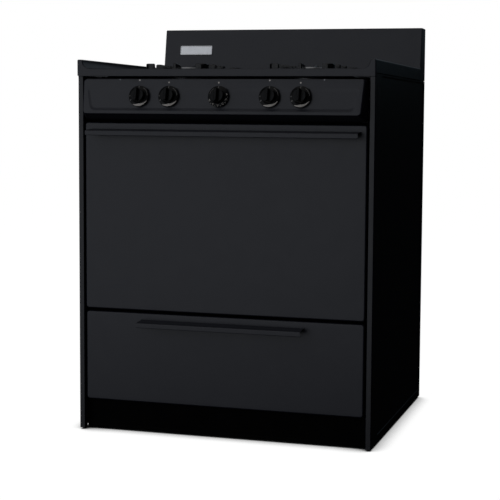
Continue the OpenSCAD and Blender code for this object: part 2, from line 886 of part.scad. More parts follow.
// Arms inside the door, bored to run on the fixed pins
module door_hinge_arms() {
    x0 = hinge_x + 4.2;
    x1 = hinge_x + 7.2;
    place() color([0.5, 0.5, 0.52]) both_sides() difference() {
        union() {
            rod([x0, hinge_y, hinge_z], [x1, hinge_y, hinge_z], 7);
            span([x0, hinge_y - 5, hinge_z], [x1, hinge_y + 7, hinge_z + 110]);
        }
        rod([x0 - 1, hinge_y, hinge_z], [x1 + 1, hinge_y, hinge_z], pin_r + 0.05);
    }
}

// ---- Broiler drawer ----

module drawer_front() {
    place() color([0.12, 0.125, 0.135])
        pan(drawer_w / 2, drawer_low, drawer_top, 6.5, drawer_deep, sheet);
}

module drawer_handle() {
    place() ledge(drawer_handle_w / 2, drawer_top);
}

module drawer_tray() {
    place() color([0.12, 0.12, 0.15])
        walls([-tray_x, drawer_deep + seam, tray_low], [tray_x, tray_back, tray_high], sheet,
              ["left", "right", "front", "back", "bottom"]);
}

module drawer_glides() {
    place() color([0.7, 0.7, 0.72]) both_sides()
        span([tray_x + seam, 40, rail_z + 2.5], [rail_x - 3, tray_back - 10, rail_z + rail_tall - 2.5]);
}

module broiler_pan() {
    low = [-170, 60, tray_low + sheet + 0.4];
    high = [170, 420, tray_low + 36];
    place() color([0.12, 0.12, 0.15]) {
        difference() {
            span(low, high);
            span(low + [1.2, 1.2, 1.2], high + [-1.2, -1.2, 1]);
        }
        difference() {
            span([-180, 50, high[2] - 1.4], [180, 430, high[2]]);
            span(low - [0, 0, 5], high + [0, 0, 5]);
        }
    }
}

module broiler_grid() {
    z = tray_low + 36.2;
    place() color([0.6, 0.6, 0.62]) difference() {
        span([-174, 56, z], [174, 424, z + 1.2]);
        for (y = [76:24:400], side = [-1, 1])
            translate([side * 84, 0, 0]) span([-66, y, z - 1], [66, y + 5, z + 3]);
    }
}

// ---- Racks ----

// Wire rack: a round frame, a raised rear bar and wires that run front to back
module rack(z) {
    r = 3;
    wire = 2;
    place() color([0.7, 0.7, 0.72]) {
        both_sides() rod([rack_half, rack_front, z], [rack_half, rack_rear, z], r);
        for (y = [rack_front, (rack_front + rack_rear) / 2, rack_rear])
            rod([-rack_half, y, z], [rack_half, y, z], r);
        for (x = [-rack_half, rack_half], y = [rack_front, rack_rear])
            translate([x, y, z]) sphere(r, $fn = 24);
        for (x = [-266:38:266])
            rod([x, rack_front, z + 3.5], [x, rack_rear, z + 3.5], wire);
    }
}

side_panel_left();
side_panel_right();
back_panel();
base_frame();
base_pan();
toe_kick();
front_frame();
leveling_legs();
backguard();
backguard_badge();
control_panel();
panel_screws();
gas_manifold();
burner_valves();
oven_thermostat();
gas_supply_pipe();
pressure_regulator();
burner_tubes();
burner_heads();
burner_caps();
pilot_tubes();
top_rails();
oven_liner();
oven_bottom();
oven_insulation();
oven_flue();
oven_burner();
flame_spreader();
oven_gasket();
hinge_brackets();
broiler_liner();
drawer_rails();
cooktop();
grate(-burner_x, burner_front);  // grate_left_front
grate(-burner_x, burner_rear);  // grate_left_rear
grate(burner_x, burner_front);  // grate_right_front
grate(burner_x, burner_rear);  // grate_right_rear
door_outer_panel();
door_inner_panel();
door_insulation();
door_handle();
door_hinge_arms();
drawer_front();
drawer_handle();
drawer_tray();
drawer_glides();
broiler_pan();
broiler_grid();
rack(rack_heights[1]);  // rack_upper
rack(rack_heights[0]);  // rack_lower
for (i = [0:4]) {
    knob(i);
    stem(i);
}
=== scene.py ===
import json
import math

import bmesh
import bpy
from mathutils import Matrix, Vector


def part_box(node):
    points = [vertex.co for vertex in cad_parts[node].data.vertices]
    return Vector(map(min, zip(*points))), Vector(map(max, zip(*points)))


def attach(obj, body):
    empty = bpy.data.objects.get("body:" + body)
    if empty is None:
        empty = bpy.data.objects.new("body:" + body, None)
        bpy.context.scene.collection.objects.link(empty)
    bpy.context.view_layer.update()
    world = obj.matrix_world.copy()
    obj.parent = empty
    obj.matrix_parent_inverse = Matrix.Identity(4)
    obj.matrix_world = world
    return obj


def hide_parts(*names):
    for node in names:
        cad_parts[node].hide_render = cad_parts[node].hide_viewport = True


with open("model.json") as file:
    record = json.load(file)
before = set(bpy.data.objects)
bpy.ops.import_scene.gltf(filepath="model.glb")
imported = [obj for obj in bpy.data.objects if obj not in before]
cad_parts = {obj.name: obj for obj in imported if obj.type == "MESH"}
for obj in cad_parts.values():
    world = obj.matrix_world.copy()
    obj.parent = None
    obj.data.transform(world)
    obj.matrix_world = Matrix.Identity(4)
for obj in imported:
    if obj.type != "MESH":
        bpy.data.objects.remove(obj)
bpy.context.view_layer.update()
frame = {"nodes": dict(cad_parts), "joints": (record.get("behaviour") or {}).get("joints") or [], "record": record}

MM = 0.001
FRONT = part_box("side_panel_right")[0].y


def spans(node):
    """A CAD node's (low, high) pairs along x, y and z, in millimetres from the front plane."""
    low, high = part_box(node)
    shift = Vector((0, FRONT, 0))
    low, high = (low - shift) / MM, (high - shift) / MM
    return (low.x, high.x), (low.y, high.y), (low.z, high.z)


def to_frame(p):
    """A point in the range's millimetres as a point of the frame."""
    return Vector((p[0] * MM, FRONT + p[1] * MM, p[2] * MM))


# ---- outlines and patches

def quarter(steps):
    """Angles from nought to a right angle."""
    return [math.pi / 2 * k / steps for k in range(steps + 1)]


def full_turn(segments):
    """Angles of evenly spaced points round a circle."""
    return [2 * math.pi * k / segments for k in range(segments)]


def turned(a, b, share):
    """Turns the plane vector a towards b by a share of the angle between them."""
    angle = -a.angle_signed(b) * share
    c, s = math.cos(angle), math.sin(angle)
    return Vector((a.x * c - a.y * s, a.x * s + a.y * c))


def fillet(points, radii, steps=5):
    """A plane polyline with an arc of the given radius at each inner corner."""
    out = [Vector(points[0])]
    for i, r in enumerate(radii, start=1):
        here = Vector(points[i])
        a = (Vector(points[i - 1]) - here).normalized()
        b = (Vector(points[i + 1]) - here).normalized()
        half = a.angle(b) / 2
        centre = here + (a + b).normalized() * (r / math.sin(half))
        reach = r / math.tan(half)
        start, end = here + a * reach - centre, here + b * reach - centre
        out += [centre + turned(start, end, k / steps) for k in range(steps + 1)]
    out.append(Vector(points[-1]))
    return out


def corner_arcs(corners, steps):
    """Points along a quarter circle at each (x, z, radius, start in degrees)."""
    out = []
    for x, z, r, start in corners:
        for k in range(steps + 1):
            a = math.radians(start + 90 * k / steps)
            out.append((x + r * math.cos(a), z + r * math.sin(a)))
    return out


def round_rect(x0, x1, z0, z1, r, steps=6):
    """Points round a rectangle with round corners, counterclockwise from the lower right."""
    r = max(r, 0.01)
    left, right, low, high = x0 + r, x1 - r, z0 + r, z1 - r
    corners = [(right, low, r, -90), (right, high, r, 0), (left, high, r, 90), (left, low, r, 180)]
    return corner_arcs(corners, steps)


def inset_rings(x0, x1, z0, z1, r, steps, place=None, shrink=1, least=0.5, corner=6):
    """A round-cornered outline at each (inset, depth), put into space by place if there is one."""
    rings = []
    for inset, depth in steps:
        radius = max(r - inset * shrink, least)
        outline = round_rect(x0 + inset, x1 - inset, z0 + inset, z1 - inset, radius, corner)
        rings.append([place(u, v, depth) if place else (u, v, depth) for u, v in outline])
    return rings


def loft(rings, closed=True, cap_start=False, cap_end=False):
    """Faces between rings of equal length."""
    n = len(rings[0])
    verts = [Vector(p) for ring in rings for p in ring]
    faces = []
    for i in range(len(rings) - 1):
        for j in range(n if closed else n - 1):
            k = (j + 1) % n
            faces.append((i * n + j, i * n + k, (i + 1) * n + k, (i + 1) * n + j))
    if cap_start:
        faces.append(tuple(reversed(range(n))))
    if cap_end:
        faces.append(tuple(range((len(rings) - 1) * n, len(rings) * n)))
    return verts, faces


def solid(rings):
    """A closed body through the rings."""
    return loft(rings, cap_start=True, cap_end=True)


def lathe(outline, centre=(0, 0), turn=Matrix.Identity(4), segments=64):
    """Turns an outline of (radius, height) points about the local z axis."""
    cx, cy = centre
    rings = []
    for a in full_turn(segments):
        rings.append([(cx + r * math.cos(a), cy + r * math.sin(a), z) for r, z in outline])
    verts, faces = loft(rings + [rings[0]], closed=False)
    return [turn @ v for v in verts], faces


def circle(middle, side, other, r, segments):
    """Points of a circle in the plane of two unit vectors."""
    return [middle + side * r * math.cos(a) + other * r * math.sin(a) for a in full_turn(segments)]


def rod(a, b, r):
    """A straight bar with rounded ends."""
    a, b = Vector(a), Vector(b)
    along = (b - a).normalized()
    side = along.orthogonal().normalized()
    dome = [(0, 0.35), (0.15, 0.75), (0.5, 1)]
    stations = [(a + along * r * reach, r * width) for reach, width in dome]
    stations += [(b - along * r * reach, r * width) for reach, width in reversed(dome)]
    return solid([circle(p, side, along.cross(side), radius, 12) for p, radius in stations])


def tube(path, r):
    """A round tube that follows a path."""
    path = [Vector(p) for p in path]
    rings = []
    side = None
    for i, p in enumerate(path):
        along = (path[min(i + 1, len(path) - 1)] - path[max(i - 1, 0)]).normalized()
        side = along.orthogonal() if side is None else side - along * side.dot(along)
        side.normalize()
        rings.append(circle(p, side, along.cross(side), r, 10))
    return solid(rings)


def upright(x, z, y):
    """Puts a front view's point at a depth behind the front plane."""
    return x, y, z


def block(low, high, r=1):
    """A box with softened edges."""
    (x0, y0, z0), (x1, y1, z1) = low, high
    edge = [(r, 0), (0.3 * r, 0.3 * r), (0, r)]
    steps = [(inset, y0 + run) for inset, run in edge]
    steps += [(inset, y1 - run) for inset, run in reversed(edge)]
    return solid(inset_rings(x0, x1, z0, z1, r, steps, upright, shrink=0, least=0, corner=3))


def along_x(outline, x0, x1):
    """An open (y, z) outline swept from x0 to x1."""
    return loft([[(x, y, z) for y, z in outline] for x in (x0, x1)], closed=False)


def flat_on(patches, turn):
    """Patches carried through a matrix."""
    return [([turn @ Vector(v) for v in verts], faces) for verts, faces in patches]


# ---- objects

def new_object(name, data):
    """A new object in the scene."""
    obj = bpy.data.objects.new(name, data)
    bpy.context.scene.collection.objects.link(obj)
    return obj


def build(name, patches, facing=None, thick=0, weld=0.002):
    """One mesh object from patches in millimetres. Open sheet faces the given way and gets a thickness."""
    mesh = bpy.data.meshes.new(name)
    obj = new_object(name, mesh)
    bm = bmesh.new()
    for verts, faces in patches:
        made = [bm.verts.new(to_frame(v)) for v in verts]
        for face in faces:
            bm.faces.new([made[i] for i in face])
    bmesh.ops.remove_doubles(bm, verts=bm.verts, dist=weld * MM)
    bmesh.ops.dissolve_degenerate(bm, dist=1e-7, edges=bm.edges)
    bmesh.ops.recalc_face_normals(bm, faces=bm.faces)
    if facing is not None:
        way = Vector(facing)
        if sum(f.normal.dot(way) * f.calc_area() for f in bm.faces) < 0:
            bmesh.ops.reverse_faces(bm, faces=bm.faces)
    bm.to_mesh(mesh)
    bm.free()
    if thick:
        modify(obj, "SOLIDIFY", thickness=thick * MM, offset=-1, use_even_offset=True)
    return obj


def modify(obj, kind, **settings):
    """Adds a modifier and replaces the mesh by what it makes of it."""
    modifier = obj.modifiers.new(kind, kind)
    for key, value in settings.items():
        setattr(modifier, key, value)
    graph = bpy.context.evaluated_depsgraph_get()
    mesh = bpy.data.meshes.new_from_object(obj.evaluated_get(graph))
    obj.modifiers.clear()
    obj.data = mesh


def pressed(name, rings, facing, thick):
    """A sheet part that is closed by its last ring."""
    return build(name, [loft(rings, cap_end=True)], facing, thick)


def cut(obj, patches):
    """Takes closed patches out of an object."""
    tool = build(obj.name + "_tool", patches)
    modify(obj, "BOOLEAN", operation="DIFFERENCE", solver="EXACT", object=tool)
    bpy.data.objects.remove(tool)


def soften(obj, width):
    """Bevels the sharp edges."""
    modify(obj, "BEVEL", width=width * MM, segments=2, limit_method="ANGLE", angle_limit=math.radians(40))


def remesh(obj, voxel):
    """Fuses overlapping closed patches into one skin, as a casting is."""
    modify(obj, "REMESH", mode="VOXEL", voxel_size=voxel * MM)
    modify(obj, "SMOOTH", factor=0.5, iterations=3)
    return obj


def dress(obj, slot, *nodes, body="chassis", look=None, angle=35):
    """Shading, material, the body that the piece rides on and the CAD nodes that it stands for."""
    obj.data.materials.clear()
    obj.data.materials.append(MATERIALS[look or slot])
    obj.data.polygons.foreach_set("use_smooth", [True] * len(obj.data.polygons))
    obj.data.set_sharp_from_angle(angle=math.radians(angle))
    modify(obj, "WEIGHTED_NORMAL", keep_sharp=True)
    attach(obj, body)
    if nodes:
        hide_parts(*nodes)


# ---- materials

# Every material by its name, which for most of them is also a slot of the record
MATERIALS = {}


def set_inputs(node, **values):
    """Sets a node's inputs. A key has underscores where the input's name has spaces."""
    for key, value in values.items():
        node.inputs[key.replace("_", " ")].default_value = value


class Graph:
    """A new material's nodes, fed by the object's own coordinates in metres."""

    def __init__(self, name):
        self.material = MATERIALS[name] = bpy.data.materials.new(name)
        self.material.use_nodes = True
        self.tree = self.material.node_tree
        self.shader = self.tree.nodes["Principled BSDF"]
        self.coords = self.tree.nodes.new("ShaderNodeTexCoord").outputs["Object"]

    def node(self, kind, **settings):
        made = self.tree.nodes.new(kind)
        for key, value in settings.items():
            setattr(made, key, value)
        return made

    def join(self, source, target):
        self.tree.links.new(source, target)

    def stretched(self, scale):
        mapping = self.node("ShaderNodeMapping")
        set_inputs(mapping, Scale=scale)
        self.join(self.coords, mapping.inputs["Vector"])
        return mapping.outputs["Vector"]

    def noise(self, scale, detail=2, rough=0.5, stretch=None):
        made = self.node("ShaderNodeTexNoise")
        set_inputs(made, Scale=scale, Detail=detail, Roughness=rough)
        self.join(self.stretched(stretch) if stretch else self.coords, made.inputs["Vector"])
        return made.outputs["Fac"]

    def cells(self, scale, output="Distance"):
        made = self.node("ShaderNodeTexVoronoi")
        set_inputs(made, Scale=scale)
        self.join(self.coords, made.inputs["Vector"])
        return made.outputs[output]

    def spread(self, source, low, high, start=0.3, end=0.7):
        """Maps the middle of a noise to the range from low to high."""
        made = self.node("ShaderNodeMapRange")
        set_inputs(made, From_Min=start, From_Max=end, To_Min=low, To_Max=high)
        self.join(source, made.inputs["Value"])
        return made.outputs["Result"]

    def blend(self, share, first, second):
        """Mixes two colours; either may be a colour or another node's output."""
        made = self.node("ShaderNodeMix", data_type="RGBA")
        self.join(share, made.inputs["Factor"])
        for socket, value in ((made.inputs[6], first), (made.inputs[7], second)):
            if isinstance(value, tuple):
                socket.default_value = (*value, 1)
            else:
                self.join(value, socket)
        return made.outputs[2]

    def bumps(self, *layers):
        """Stacks (height source, depth in metres) layers onto the shader's normal."""
        below = None
        for source, depth in layers:
            made = self.node("ShaderNodeBump")
            set_inputs(made, Strength=1, Distance=depth)
            self.join(source, made.inputs["Height"])
            if below is not None:
                self.join(below, made.inputs["Normal"])
            below = made.outputs["Normal"]
        self.join(below, self.shader.inputs["Normal"])

    def colour(self, source):
        self.join(source, self.shader.inputs["Base Color"])

    def rough(self, source):
        self.join(source, self.shader.inputs["Roughness"])


def enamel(name, dark, light, low, high, specular=0.5):
    """Porcelain or baked enamel: a cloudy tone, smudged gloss, orange peel and slightly wavy sheet."""
    g = Graph(name)
    g.colour(g.blend(g.spread(g.noise(9, 5, 0.6), 0, 1), dark, light))
    g.rough(g.spread(g.noise(30, 5, 0.6), low, high))
    g.bumps((g.noise(6, 1), 0.00006), (g.noise(520, 1), 0.000012))
    set_inputs(g.shader, Specular_IOR_Level=specular)


def speckled_enamel(name):
    """Oven enamel: dark blue-black with fine pale flecks."""
    g = Graph(name)
    flecks = g.spread(g.cells(420), 1, 0, 0.1, 0.17)
    base = g.blend(g.spread(g.noise(30, 3), 0, 1), (0.018, 0.019, 0.026), (0.03, 0.031, 0.04))
    g.colour(g.blend(flecks, base, (0.45, 0.46, 0.5)))
    g.rough(g.spread(g.noise(40, 3), 0.18, 0.34))
    g.bumps((g.noise(420, 2), 0.00002))


def moulded(name, dark, light):
    """Moulded plastic: fine matt grain with handling wear in its gloss."""
    g = Graph(name)
    g.colour(g.blend(g.spread(g.noise(60, 4), 0, 1), dark, light))
    g.rough(g.spread(g.noise(90, 5, 0.65), 0.28, 0.42))
    g.bumps((g.noise(1800, 2), 0.000012), (g.noise(240, 2), 0.00001))
    set_inputs(g.shader, Specular_IOR_Level=0.18)


def paint(name, tone, rough=0.5):
    """Printed or filled marks."""
    g = Graph(name)
    dark = tuple(c * 0.86 for c in tone)
    g.colour(g.blend(g.spread(g.noise(900, 3), 0, 1), dark, tone))
    g.rough(g.spread(g.noise(500, 2), rough - 0.06, rough + 0.06))
    g.bumps((g.noise(1500, 2), 0.000008))


def metal(name, dark, light, low, high, grain=None, bump=0.00001):
    """Bare metal; grain stretches the texture along one direction for brushing or drawing marks."""
    g = Graph(name)
    lines = g.noise(700, 3, 0.6, grain) if grain else g.noise(260, 4, 0.6)
    g.colour(g.blend(g.spread(lines, 0, 1), dark, light))
    g.rough(g.spread(g.noise(35, 4), low, high))
    g.bumps((lines, bump))
    set_inputs(g.shader, Metallic=1)


def galvanised(name):
    """Zinc coated sheet with its spangle."""
    g = Graph(name)
    grey = g.node("ShaderNodeRGBToBW")
    g.join(g.cells(150, output="Color"), grey.inputs[0])
    g.colour(g.blend(grey.outputs[0], (0.36, 0.37, 0.385), (0.42, 0.43, 0.445)))
    g.rough(g.spread(grey.outputs[0], 0.42, 0.5, 0.1, 0.9))
    g.bumps((g.noise(6, 1), 0.0003), (g.cells(150), 0.000004))
    set_inputs(g.shader, Metallic=1)


def cast_iron(name):
    """Cast grates under black porcelain: pebbled and glossy, a little paler where they have been heated."""
    g = Graph(name)
    worn = g.spread(g.noise(38, 5, 0.6), 0, 1, 0.45, 0.75)
    g.colour(g.blend(worn, (0.0035, 0.0035, 0.0045), (0.007, 0.0068, 0.0072)))
    g.rough(g.spread(g.noise(120, 4), 0.16, 0.32))
    g.bumps((g.noise(420, 3), 0.00005), (g.noise(1500, 2), 0.00002))
    set_inputs(g.shader, Specular_IOR_Level=0.45)


def wool(name, dark, light):
    """Mineral wool: long tangled fibres."""
    g = Graph(name)
    fibre = g.noise(240, 6, 0.75, (1, 0.25, 1))
    g.colour(g.blend(g.spread(fibre, 0, 1), dark, light))
    g.bumps((g.noise(60, 4), 0.003), (fibre, 0.0012))
    set_inputs(g.shader, Roughness=0.95)


def braid(name):
    """Braided glass fibre rope."""
    g = Graph(name)
    wave = g.node("ShaderNodeTexWave", bands_direction="DIAGONAL")
    set_inputs(wave, Scale=130, Distortion=1.5)
    g.join(g.coords, wave.inputs["Vector"])
    g.colour(g.blend(wave.outputs["Fac"], (0.28, 0.28, 0.27), (0.55, 0.55, 0.52)))
    g.bumps((wave.outputs["Fac"], 0.0007))
    set_inputs(g.shader, Roughness=0.9)


enamel("black_enamel", (0.0168, 0.0176, 0.0262), (0.018, 0.0188, 0.0278), 0.34, 0.38)
enamel("side_enamel", (0.0086, 0.009, 0.0136), (0.0096, 0.01, 0.015), 0.3, 0.34)
speckled_enamel("oven_enamel")
moulded("black_plastic", (0.003, 0.003, 0.0035), (0.0045, 0.0045, 0.005))
paint("cream_mark", (0.78, 0.72, 0.66))
paint("grey_mark", (0.16, 0.155, 0.15))
paint("dark_mark", (0.006, 0.006, 0.007), 0.45)
metal("badge_metal", (0.62, 0.62, 0.63), (0.88, 0.88, 0.89), 0.22, 0.32, (1, 1, 14))
metal("badge_field", (0.66, 0.66, 0.67), (0.92, 0.92, 0.93), 0.26, 0.36, (1, 1, 14))
cast_iron("cast_iron")
metal("aluminium", (0.42, 0.42, 0.43), (0.62, 0.62, 0.63), 0.34, 0.5, bump=0.00003)
metal("chrome", (0.55, 0.55, 0.56), (0.72, 0.72, 0.73), 0.1, 0.22, bump=0.000003)
galvanised("galvanised")
# black_steel is near-black and almost without gloss: painted shade on the recessed plinth and on the strip under
# the control panel
enamel("black_steel", (0.001, 0.001, 0.0012), (0.0018, 0.0018, 0.002), 0.5, 0.65, specular=0.03)
metal("brass", (0.45, 0.31, 0.12), (0.62, 0.45, 0.2), 0.25, 0.42, (1, 12, 1))
wool("insulation", (0.42, 0.36, 0.2), (0.72, 0.66, 0.42))
braid("gasket")


def dress_cad_nodes():
    """Every CAD node that stays gets the detailed material of its slot."""
    for row in frame["record"]["subparts"]:
        node = frame["nodes"][row["node"]]
        node.data.materials.clear()
        node.data.materials.append(MATERIALS[row["material_slot"]])


# ---- cabinet

def soft_step(run, depth, start=0, steps=8):
    """(inset, depth) pairs across a pressed step that is soft at its top and at its foot."""
    shares = [k / steps for k in range(steps + 1)]
    return [(start + run * t, depth * t * t * (3 - 2 * t)) for t in shares]


def edge_roll(r):
    """(inset, depth) pairs round a soft outer edge, from the side to the face."""
    return [(r * (1 - math.cos(a)), r * (1 - math.sin(a))) for a in quarter(5)]


def side_panel(sign, name):
    """Cabinet side: folded front flange and jamb, and a field pressed into the flat of the side."""
    (x0, x1), (_, y1), (z0, z1) = spans(name)
    inner, outer = sorted((abs(x0), abs(x1)))
    fold, jamb_back = 2.2, 16
    near = fold + 0.1
    jamb = fillet([(inner, jamb_back), (inner, 0), (outer, 0), (outer, near)], [2, fold])
    front = loft([[(x * sign, y, z) for x, y in jamb] for z in (z0, z1)], closed=False)
    flat = [[(outer * sign, y, z) for y, z in round_rect(near, y1, z0, z1, 0.01)]]
    pressing = [(0, 0)] + soft_step(3.2, 2, 1)
    field = (62, y1 - 18, z0 + 18, z1 - 3)
    flat += inset_rings(*field, 16, pressing, lambda y, z, d: ((outer - d) * sign, y, z))
    obj = build(name + "_skin", [front, loft(flat, cap_end=True)], facing=(sign, 0, 0), thick=1.2, weld=0.03)
    dress(obj, "side_enamel", name)


# From the backguard's rear to the foot and to the top of its leaning face
GUARD_FOOT = 67
GUARD_TOP = 49


def backguard():
    """Folded box whose face leans back above the rim, with soft edges round both ends."""
    (x0, _), (y0, y1), (z0, z1) = spans("backguard")
    rim, roll = spans("cooktop")[2][1], 2
    profile = fillet([(y0, z0), (y0, rim), (y1 - GUARD_TOP, z1), (y1, z1), (y1, z0)], [3, 3.5, 2])
    rings = []
    for a in quarter(4):
        inset, step = roll * (1 - math.sin(a)), roll * (1 - math.cos(a))
        ring = []
        for y, z in profile:
            inward = inset if y < (y0 + y1) / 2 else -inset
            down = inset if z > rim + roll else 0
            ring.append((x0 + step, y + inward, z - down))
        rings.append(ring)
    mirrored = [[(-x, y, z) for x, y, z in ring] for ring in reversed(rings)]
    shell = loft(rings + mirrored, closed=False, cap_start=True, cap_end=True)
    obj = build("backguard_shell", [shell], facing=(0, -1, 0), thick=1)
    dress(obj, "black_enamel", "backguard")


def badge():
    """Plain bright plate with a raised border, lying on the backguard's leaning face."""
    (x0, x1), (y0, _), (z0, z1) = spans("backguard_badge")
    thick, width = 2.2, x1 - x0
    lean = math.atan2(GUARD_FOOT - GUARD_TOP, spans("backguard")[2][1] - spans("cooktop")[2][1])
    tall = (z1 - z0 - thick * math.sin(lean)) / math.cos(lean)
    foot = Matrix.Translation((x0, y0 + thick * math.cos(lean), z0))
    turn = foot @ Matrix.Rotation(math.pi / 2 - lean, 4, "X")
    border = [(0, 0), (0, 1.2), (0.3, 1.75), (0.9, 2.1), (2, 2.1), (2.5, 1.9), (2.9, 1.5)]
    rim = build("badge_rim", flat_on([solid(inset_rings(0, width, 0, tall, 3, border, shrink=0.7))], turn))
    dress(rim, "badge_metal", "backguard_badge", angle=50)
    plate = [(3.2, 1.4), (3.2, 1.62), (3.6, 1.72)]
    field = build("badge_field", flat_on([solid(inset_rings(0, width, 0, tall, 1.2, plate, shrink=0))], turn))
    dress(field, "badge_metal", look="badge_field")


def joint_row(name):
    """The frame's row about a joint."""
    return next(j for j in frame["joints"] if j["name"] == name)


def panel_frame():
    """Matrix from the control panel's face (x along, y up it, z out of it) to the range's directions."""
    joint = joint_row("knob_turn_oven")
    origin = (Vector(joint["pos_m"]) - Vector((0, FRONT, 0))) / MM
    out = Vector(joint["axis"]).normalized()
    across = Vector((1, 0, 0))
    turn = Matrix((across, out.cross(across), out)).transposed().to_4x4()
    return Matrix.Translation(origin) @ turn


PANEL = panel_frame()
PANEL_OUT = PANEL.to_3x3() @ Vector((0, 0, 1))
PANEL_HALF = spans("control_panel")[0][1]
PANEL_FOLD = 15
# The panel's ends are drawn in by END_SLANT where it stands END_RUN in front of the cabinet
END_RUN = 40
END_SLANT = 10


def shade_strip():
    """Near-black strip of sheet behind the top rail of the front frame: it closes the see-through slot under the
    control panel and stands there as painted shade.
    """
    half = spans("door_outer_panel")[0][1] - 20
    _, (_, rail_back), (_, rail_top) = spans("front_frame")
    near = rail_back + 0.05
    strip = block((-half, near, rail_top - 12), (half, near + 1.2, rail_top + 20), 0.4)
    dress(build("panel_shade_strip", [strip]), "black_steel")


def panel_edges():
    """Heights of the panel's top and of its face's lower edge, up the face from the knob row."""
    low, high = spans("control_panel")[2]
    rise = (PANEL.to_3x3() @ Vector((0, 1, 0))).z
    row = PANEL.translation.z
    return (high - row) / rise, (low + PANEL_FOLD - row) / rise


def on_panel(x, y, depth):
    """A point of the panel, drawn inwards where it stands in front of the cabinet."""
    p = PANEL @ Vector((x, y, depth))
    return p.x * (1 + min(p.y, 0) * END_SLANT / END_RUN / PANEL_HALF), p.y, p.z


def control_panel():
    """Tray-shaped pressing: a soft frame round a shallow field, folded back along every edge."""
    (x0, x1), (_, y1), (z0, z1) = spans("control_panel")
    top, low = panel_edges()
    field = []
    for inset, depth in ((9.5, -1.8), (7, -1.55), (4, -0.9), (1.5, -0.15), (0, 0)):
        field.append([on_panel(x, y, depth) for x, y in field_outline(top, low, inset)])
    edge = [(3.2, 0), (1.6, -0.45), (0.6, -1.4), (0.1, -2.8)]
    face = inset_rings(x0, x1, low, top, 9, edge, on_panel)
    behind = round_rect(x0 + 0.5, x1 - 0.5, z0 + 0.5, z1 - 0.3, 8)
    rear = [[(x, 1 + 4 * (z - z0) / (z1 - z0), z) for x, z in behind], [(x, y1 - 1, z) for x, z in behind]]
    skin = loft(field + face + rear, cap_start=True)
    obj = build("control_panel_skin", [skin], facing=(0, -1, 0), thick=1.2)
    hole, through = 7, 24
    drill = [(0, 0), (hole, 0), (hole, through), (0, through)]
    turns = [PANEL @ Matrix.Translation((x, 0, -through / 2)) for x in knob_places()]
    cut(obj, [lathe(drill, turn=turn, segments=24) for turn in turns])
    dress(obj, "black_enamel", "control_panel")


def field_outline(top, low, inset):
    """The recessed field: its ends slant inwards towards the bottom and its lower corners are rounder."""
    upper, lower = top - 23 - inset, low + 8 + inset
    wide, narrow = PANEL_HALF - 10 - inset, PANEL_HALF - 16 - inset
    small, big = max(6 - inset * 0.6, 1), max(16 - inset * 0.6, 1)
    corners = [(narrow - big, lower + big, big, -90), (wide - small, upper - small, small, 0),
               (small - wide, upper - small, small, 90), (big - narrow, lower + big, big, 180)]
    return corner_arcs(corners, 6)


KNOBS = ["left_front", "left_rear", "oven", "right_rear", "right_front"]


def knob_places():
    """Distance of each knob from the middle."""
    return [joint_row("knob_turn_" + name)["pos_m"][0] / MM for name in KNOBS]


def panel_screws():
    """Flush round heads along the panel's upper rim."""
    height = panel_edges()[0] - 3
    head = [(0, -1), (2, -1), (2, 0.3), (1.7, 0.7), (0.9, 1), (0, 1.1)]
    turns = [PANEL @ Matrix.Translation((x, height, 0)) for x in (-260, 260)]
    obj = build("panel_screw_heads", [lathe(head, turn=turn, segments=24) for turn in turns])
    dress(obj, "galvanised", "panel_screws")


def panel_marks():
    """Small printed signs over each knob: a pale dot, and four dark rings that stand for the burners."""
    pale, dark = [], []
    dot_heights = (41, 35.5, 35, 41, 35)
    ring_starts = (-17, -17, -11, 3, 3)
    for x, height, start in zip(knob_places(), dot_heights, ring_starts):
        place = PANEL @ Matrix.Translation((x - 3, height, 0))
        pale.append(lathe([(0, 0), (2.1, 0), (2.1, 0.08), (0, 0.1)], turn=place, segments=20))
        for k in range(4):
            at = place @ Matrix.Translation((start + 3.4 * k, -2, 0))
            dark.append(lathe([(0.9, 0), (1.3, 0), (1.3, 0.08), (0.9, 0.08), (0.9, 0)], turn=at, segments=16))
    dress(build("panel_dots", pale), "black_enamel", look="cream_mark")
    dress(build("panel_signs", dark), "black_enamel", look="dark_mark")


# ---- knobs

# Gap behind a knob, radius and height of its skirt's edge, the skirt's slope, and the print's lift over it
KNOB_GAP = 3.6
SKIRT_EDGE = 25.4
SKIRT_LOW = 2.4
SKIRT_SLOPE = 2.6 / 6.4
PRINT_LIFT = 0.12
# Share along the crescent where it is broadest
WIDEST = 0.42


def skirt_height(x, y):
    """Height over the panel of the print on the knob's sloped skirt."""
    return KNOB_GAP + SKIRT_LOW + (SKIRT_EDGE - math.hypot(x, y)) * SKIRT_SLOPE + PRINT_LIFT


def clock(hour, r):
    """Point at that hour of a clock face."""
    a = math.radians(90 - 30 * hour)
    return r * math.cos(a), r * math.sin(a)


def arc_mark(start, end, inner, outer, steps=24):
    """Printed arc between two hours; its inner radius may be a function of the share along it."""
    rows = [[], []]
    for k in range(steps + 1):
        share = k / steps
        reach = inner(share) if callable(inner) else inner
        for row, r in zip(rows, (reach, outer)):
            x, y = clock(start + (end - start) * share, r)
            row.append((x, y, skirt_height(x, y)))
    return loft(rows, closed=False)


def crescent(share):
    """Inner radius of the bright arc, which is broadest a little before its middle."""
    swell = share / WIDEST if share < WIDEST else (1 - share) / (1 - WIDEST)
    return 24.8 - 5.4 * swell ** 0.75


def star_mark(hour, r, size):
    """Small eight-pointed flame sign."""
    cx, cy = clock(hour, r)
    points = []
    for k, a in enumerate(full_turn(16)):
        reach = size * 0.4 if k % 2 else size
        points.append((cx + reach * math.cos(a), cy + reach * math.sin(a)))
    verts = [(x, y, skirt_height(x, y)) for x, y in points + [(cx, cy)]]
    return verts, [(k, (k + 1) % 16, 16) for k in range(16)]


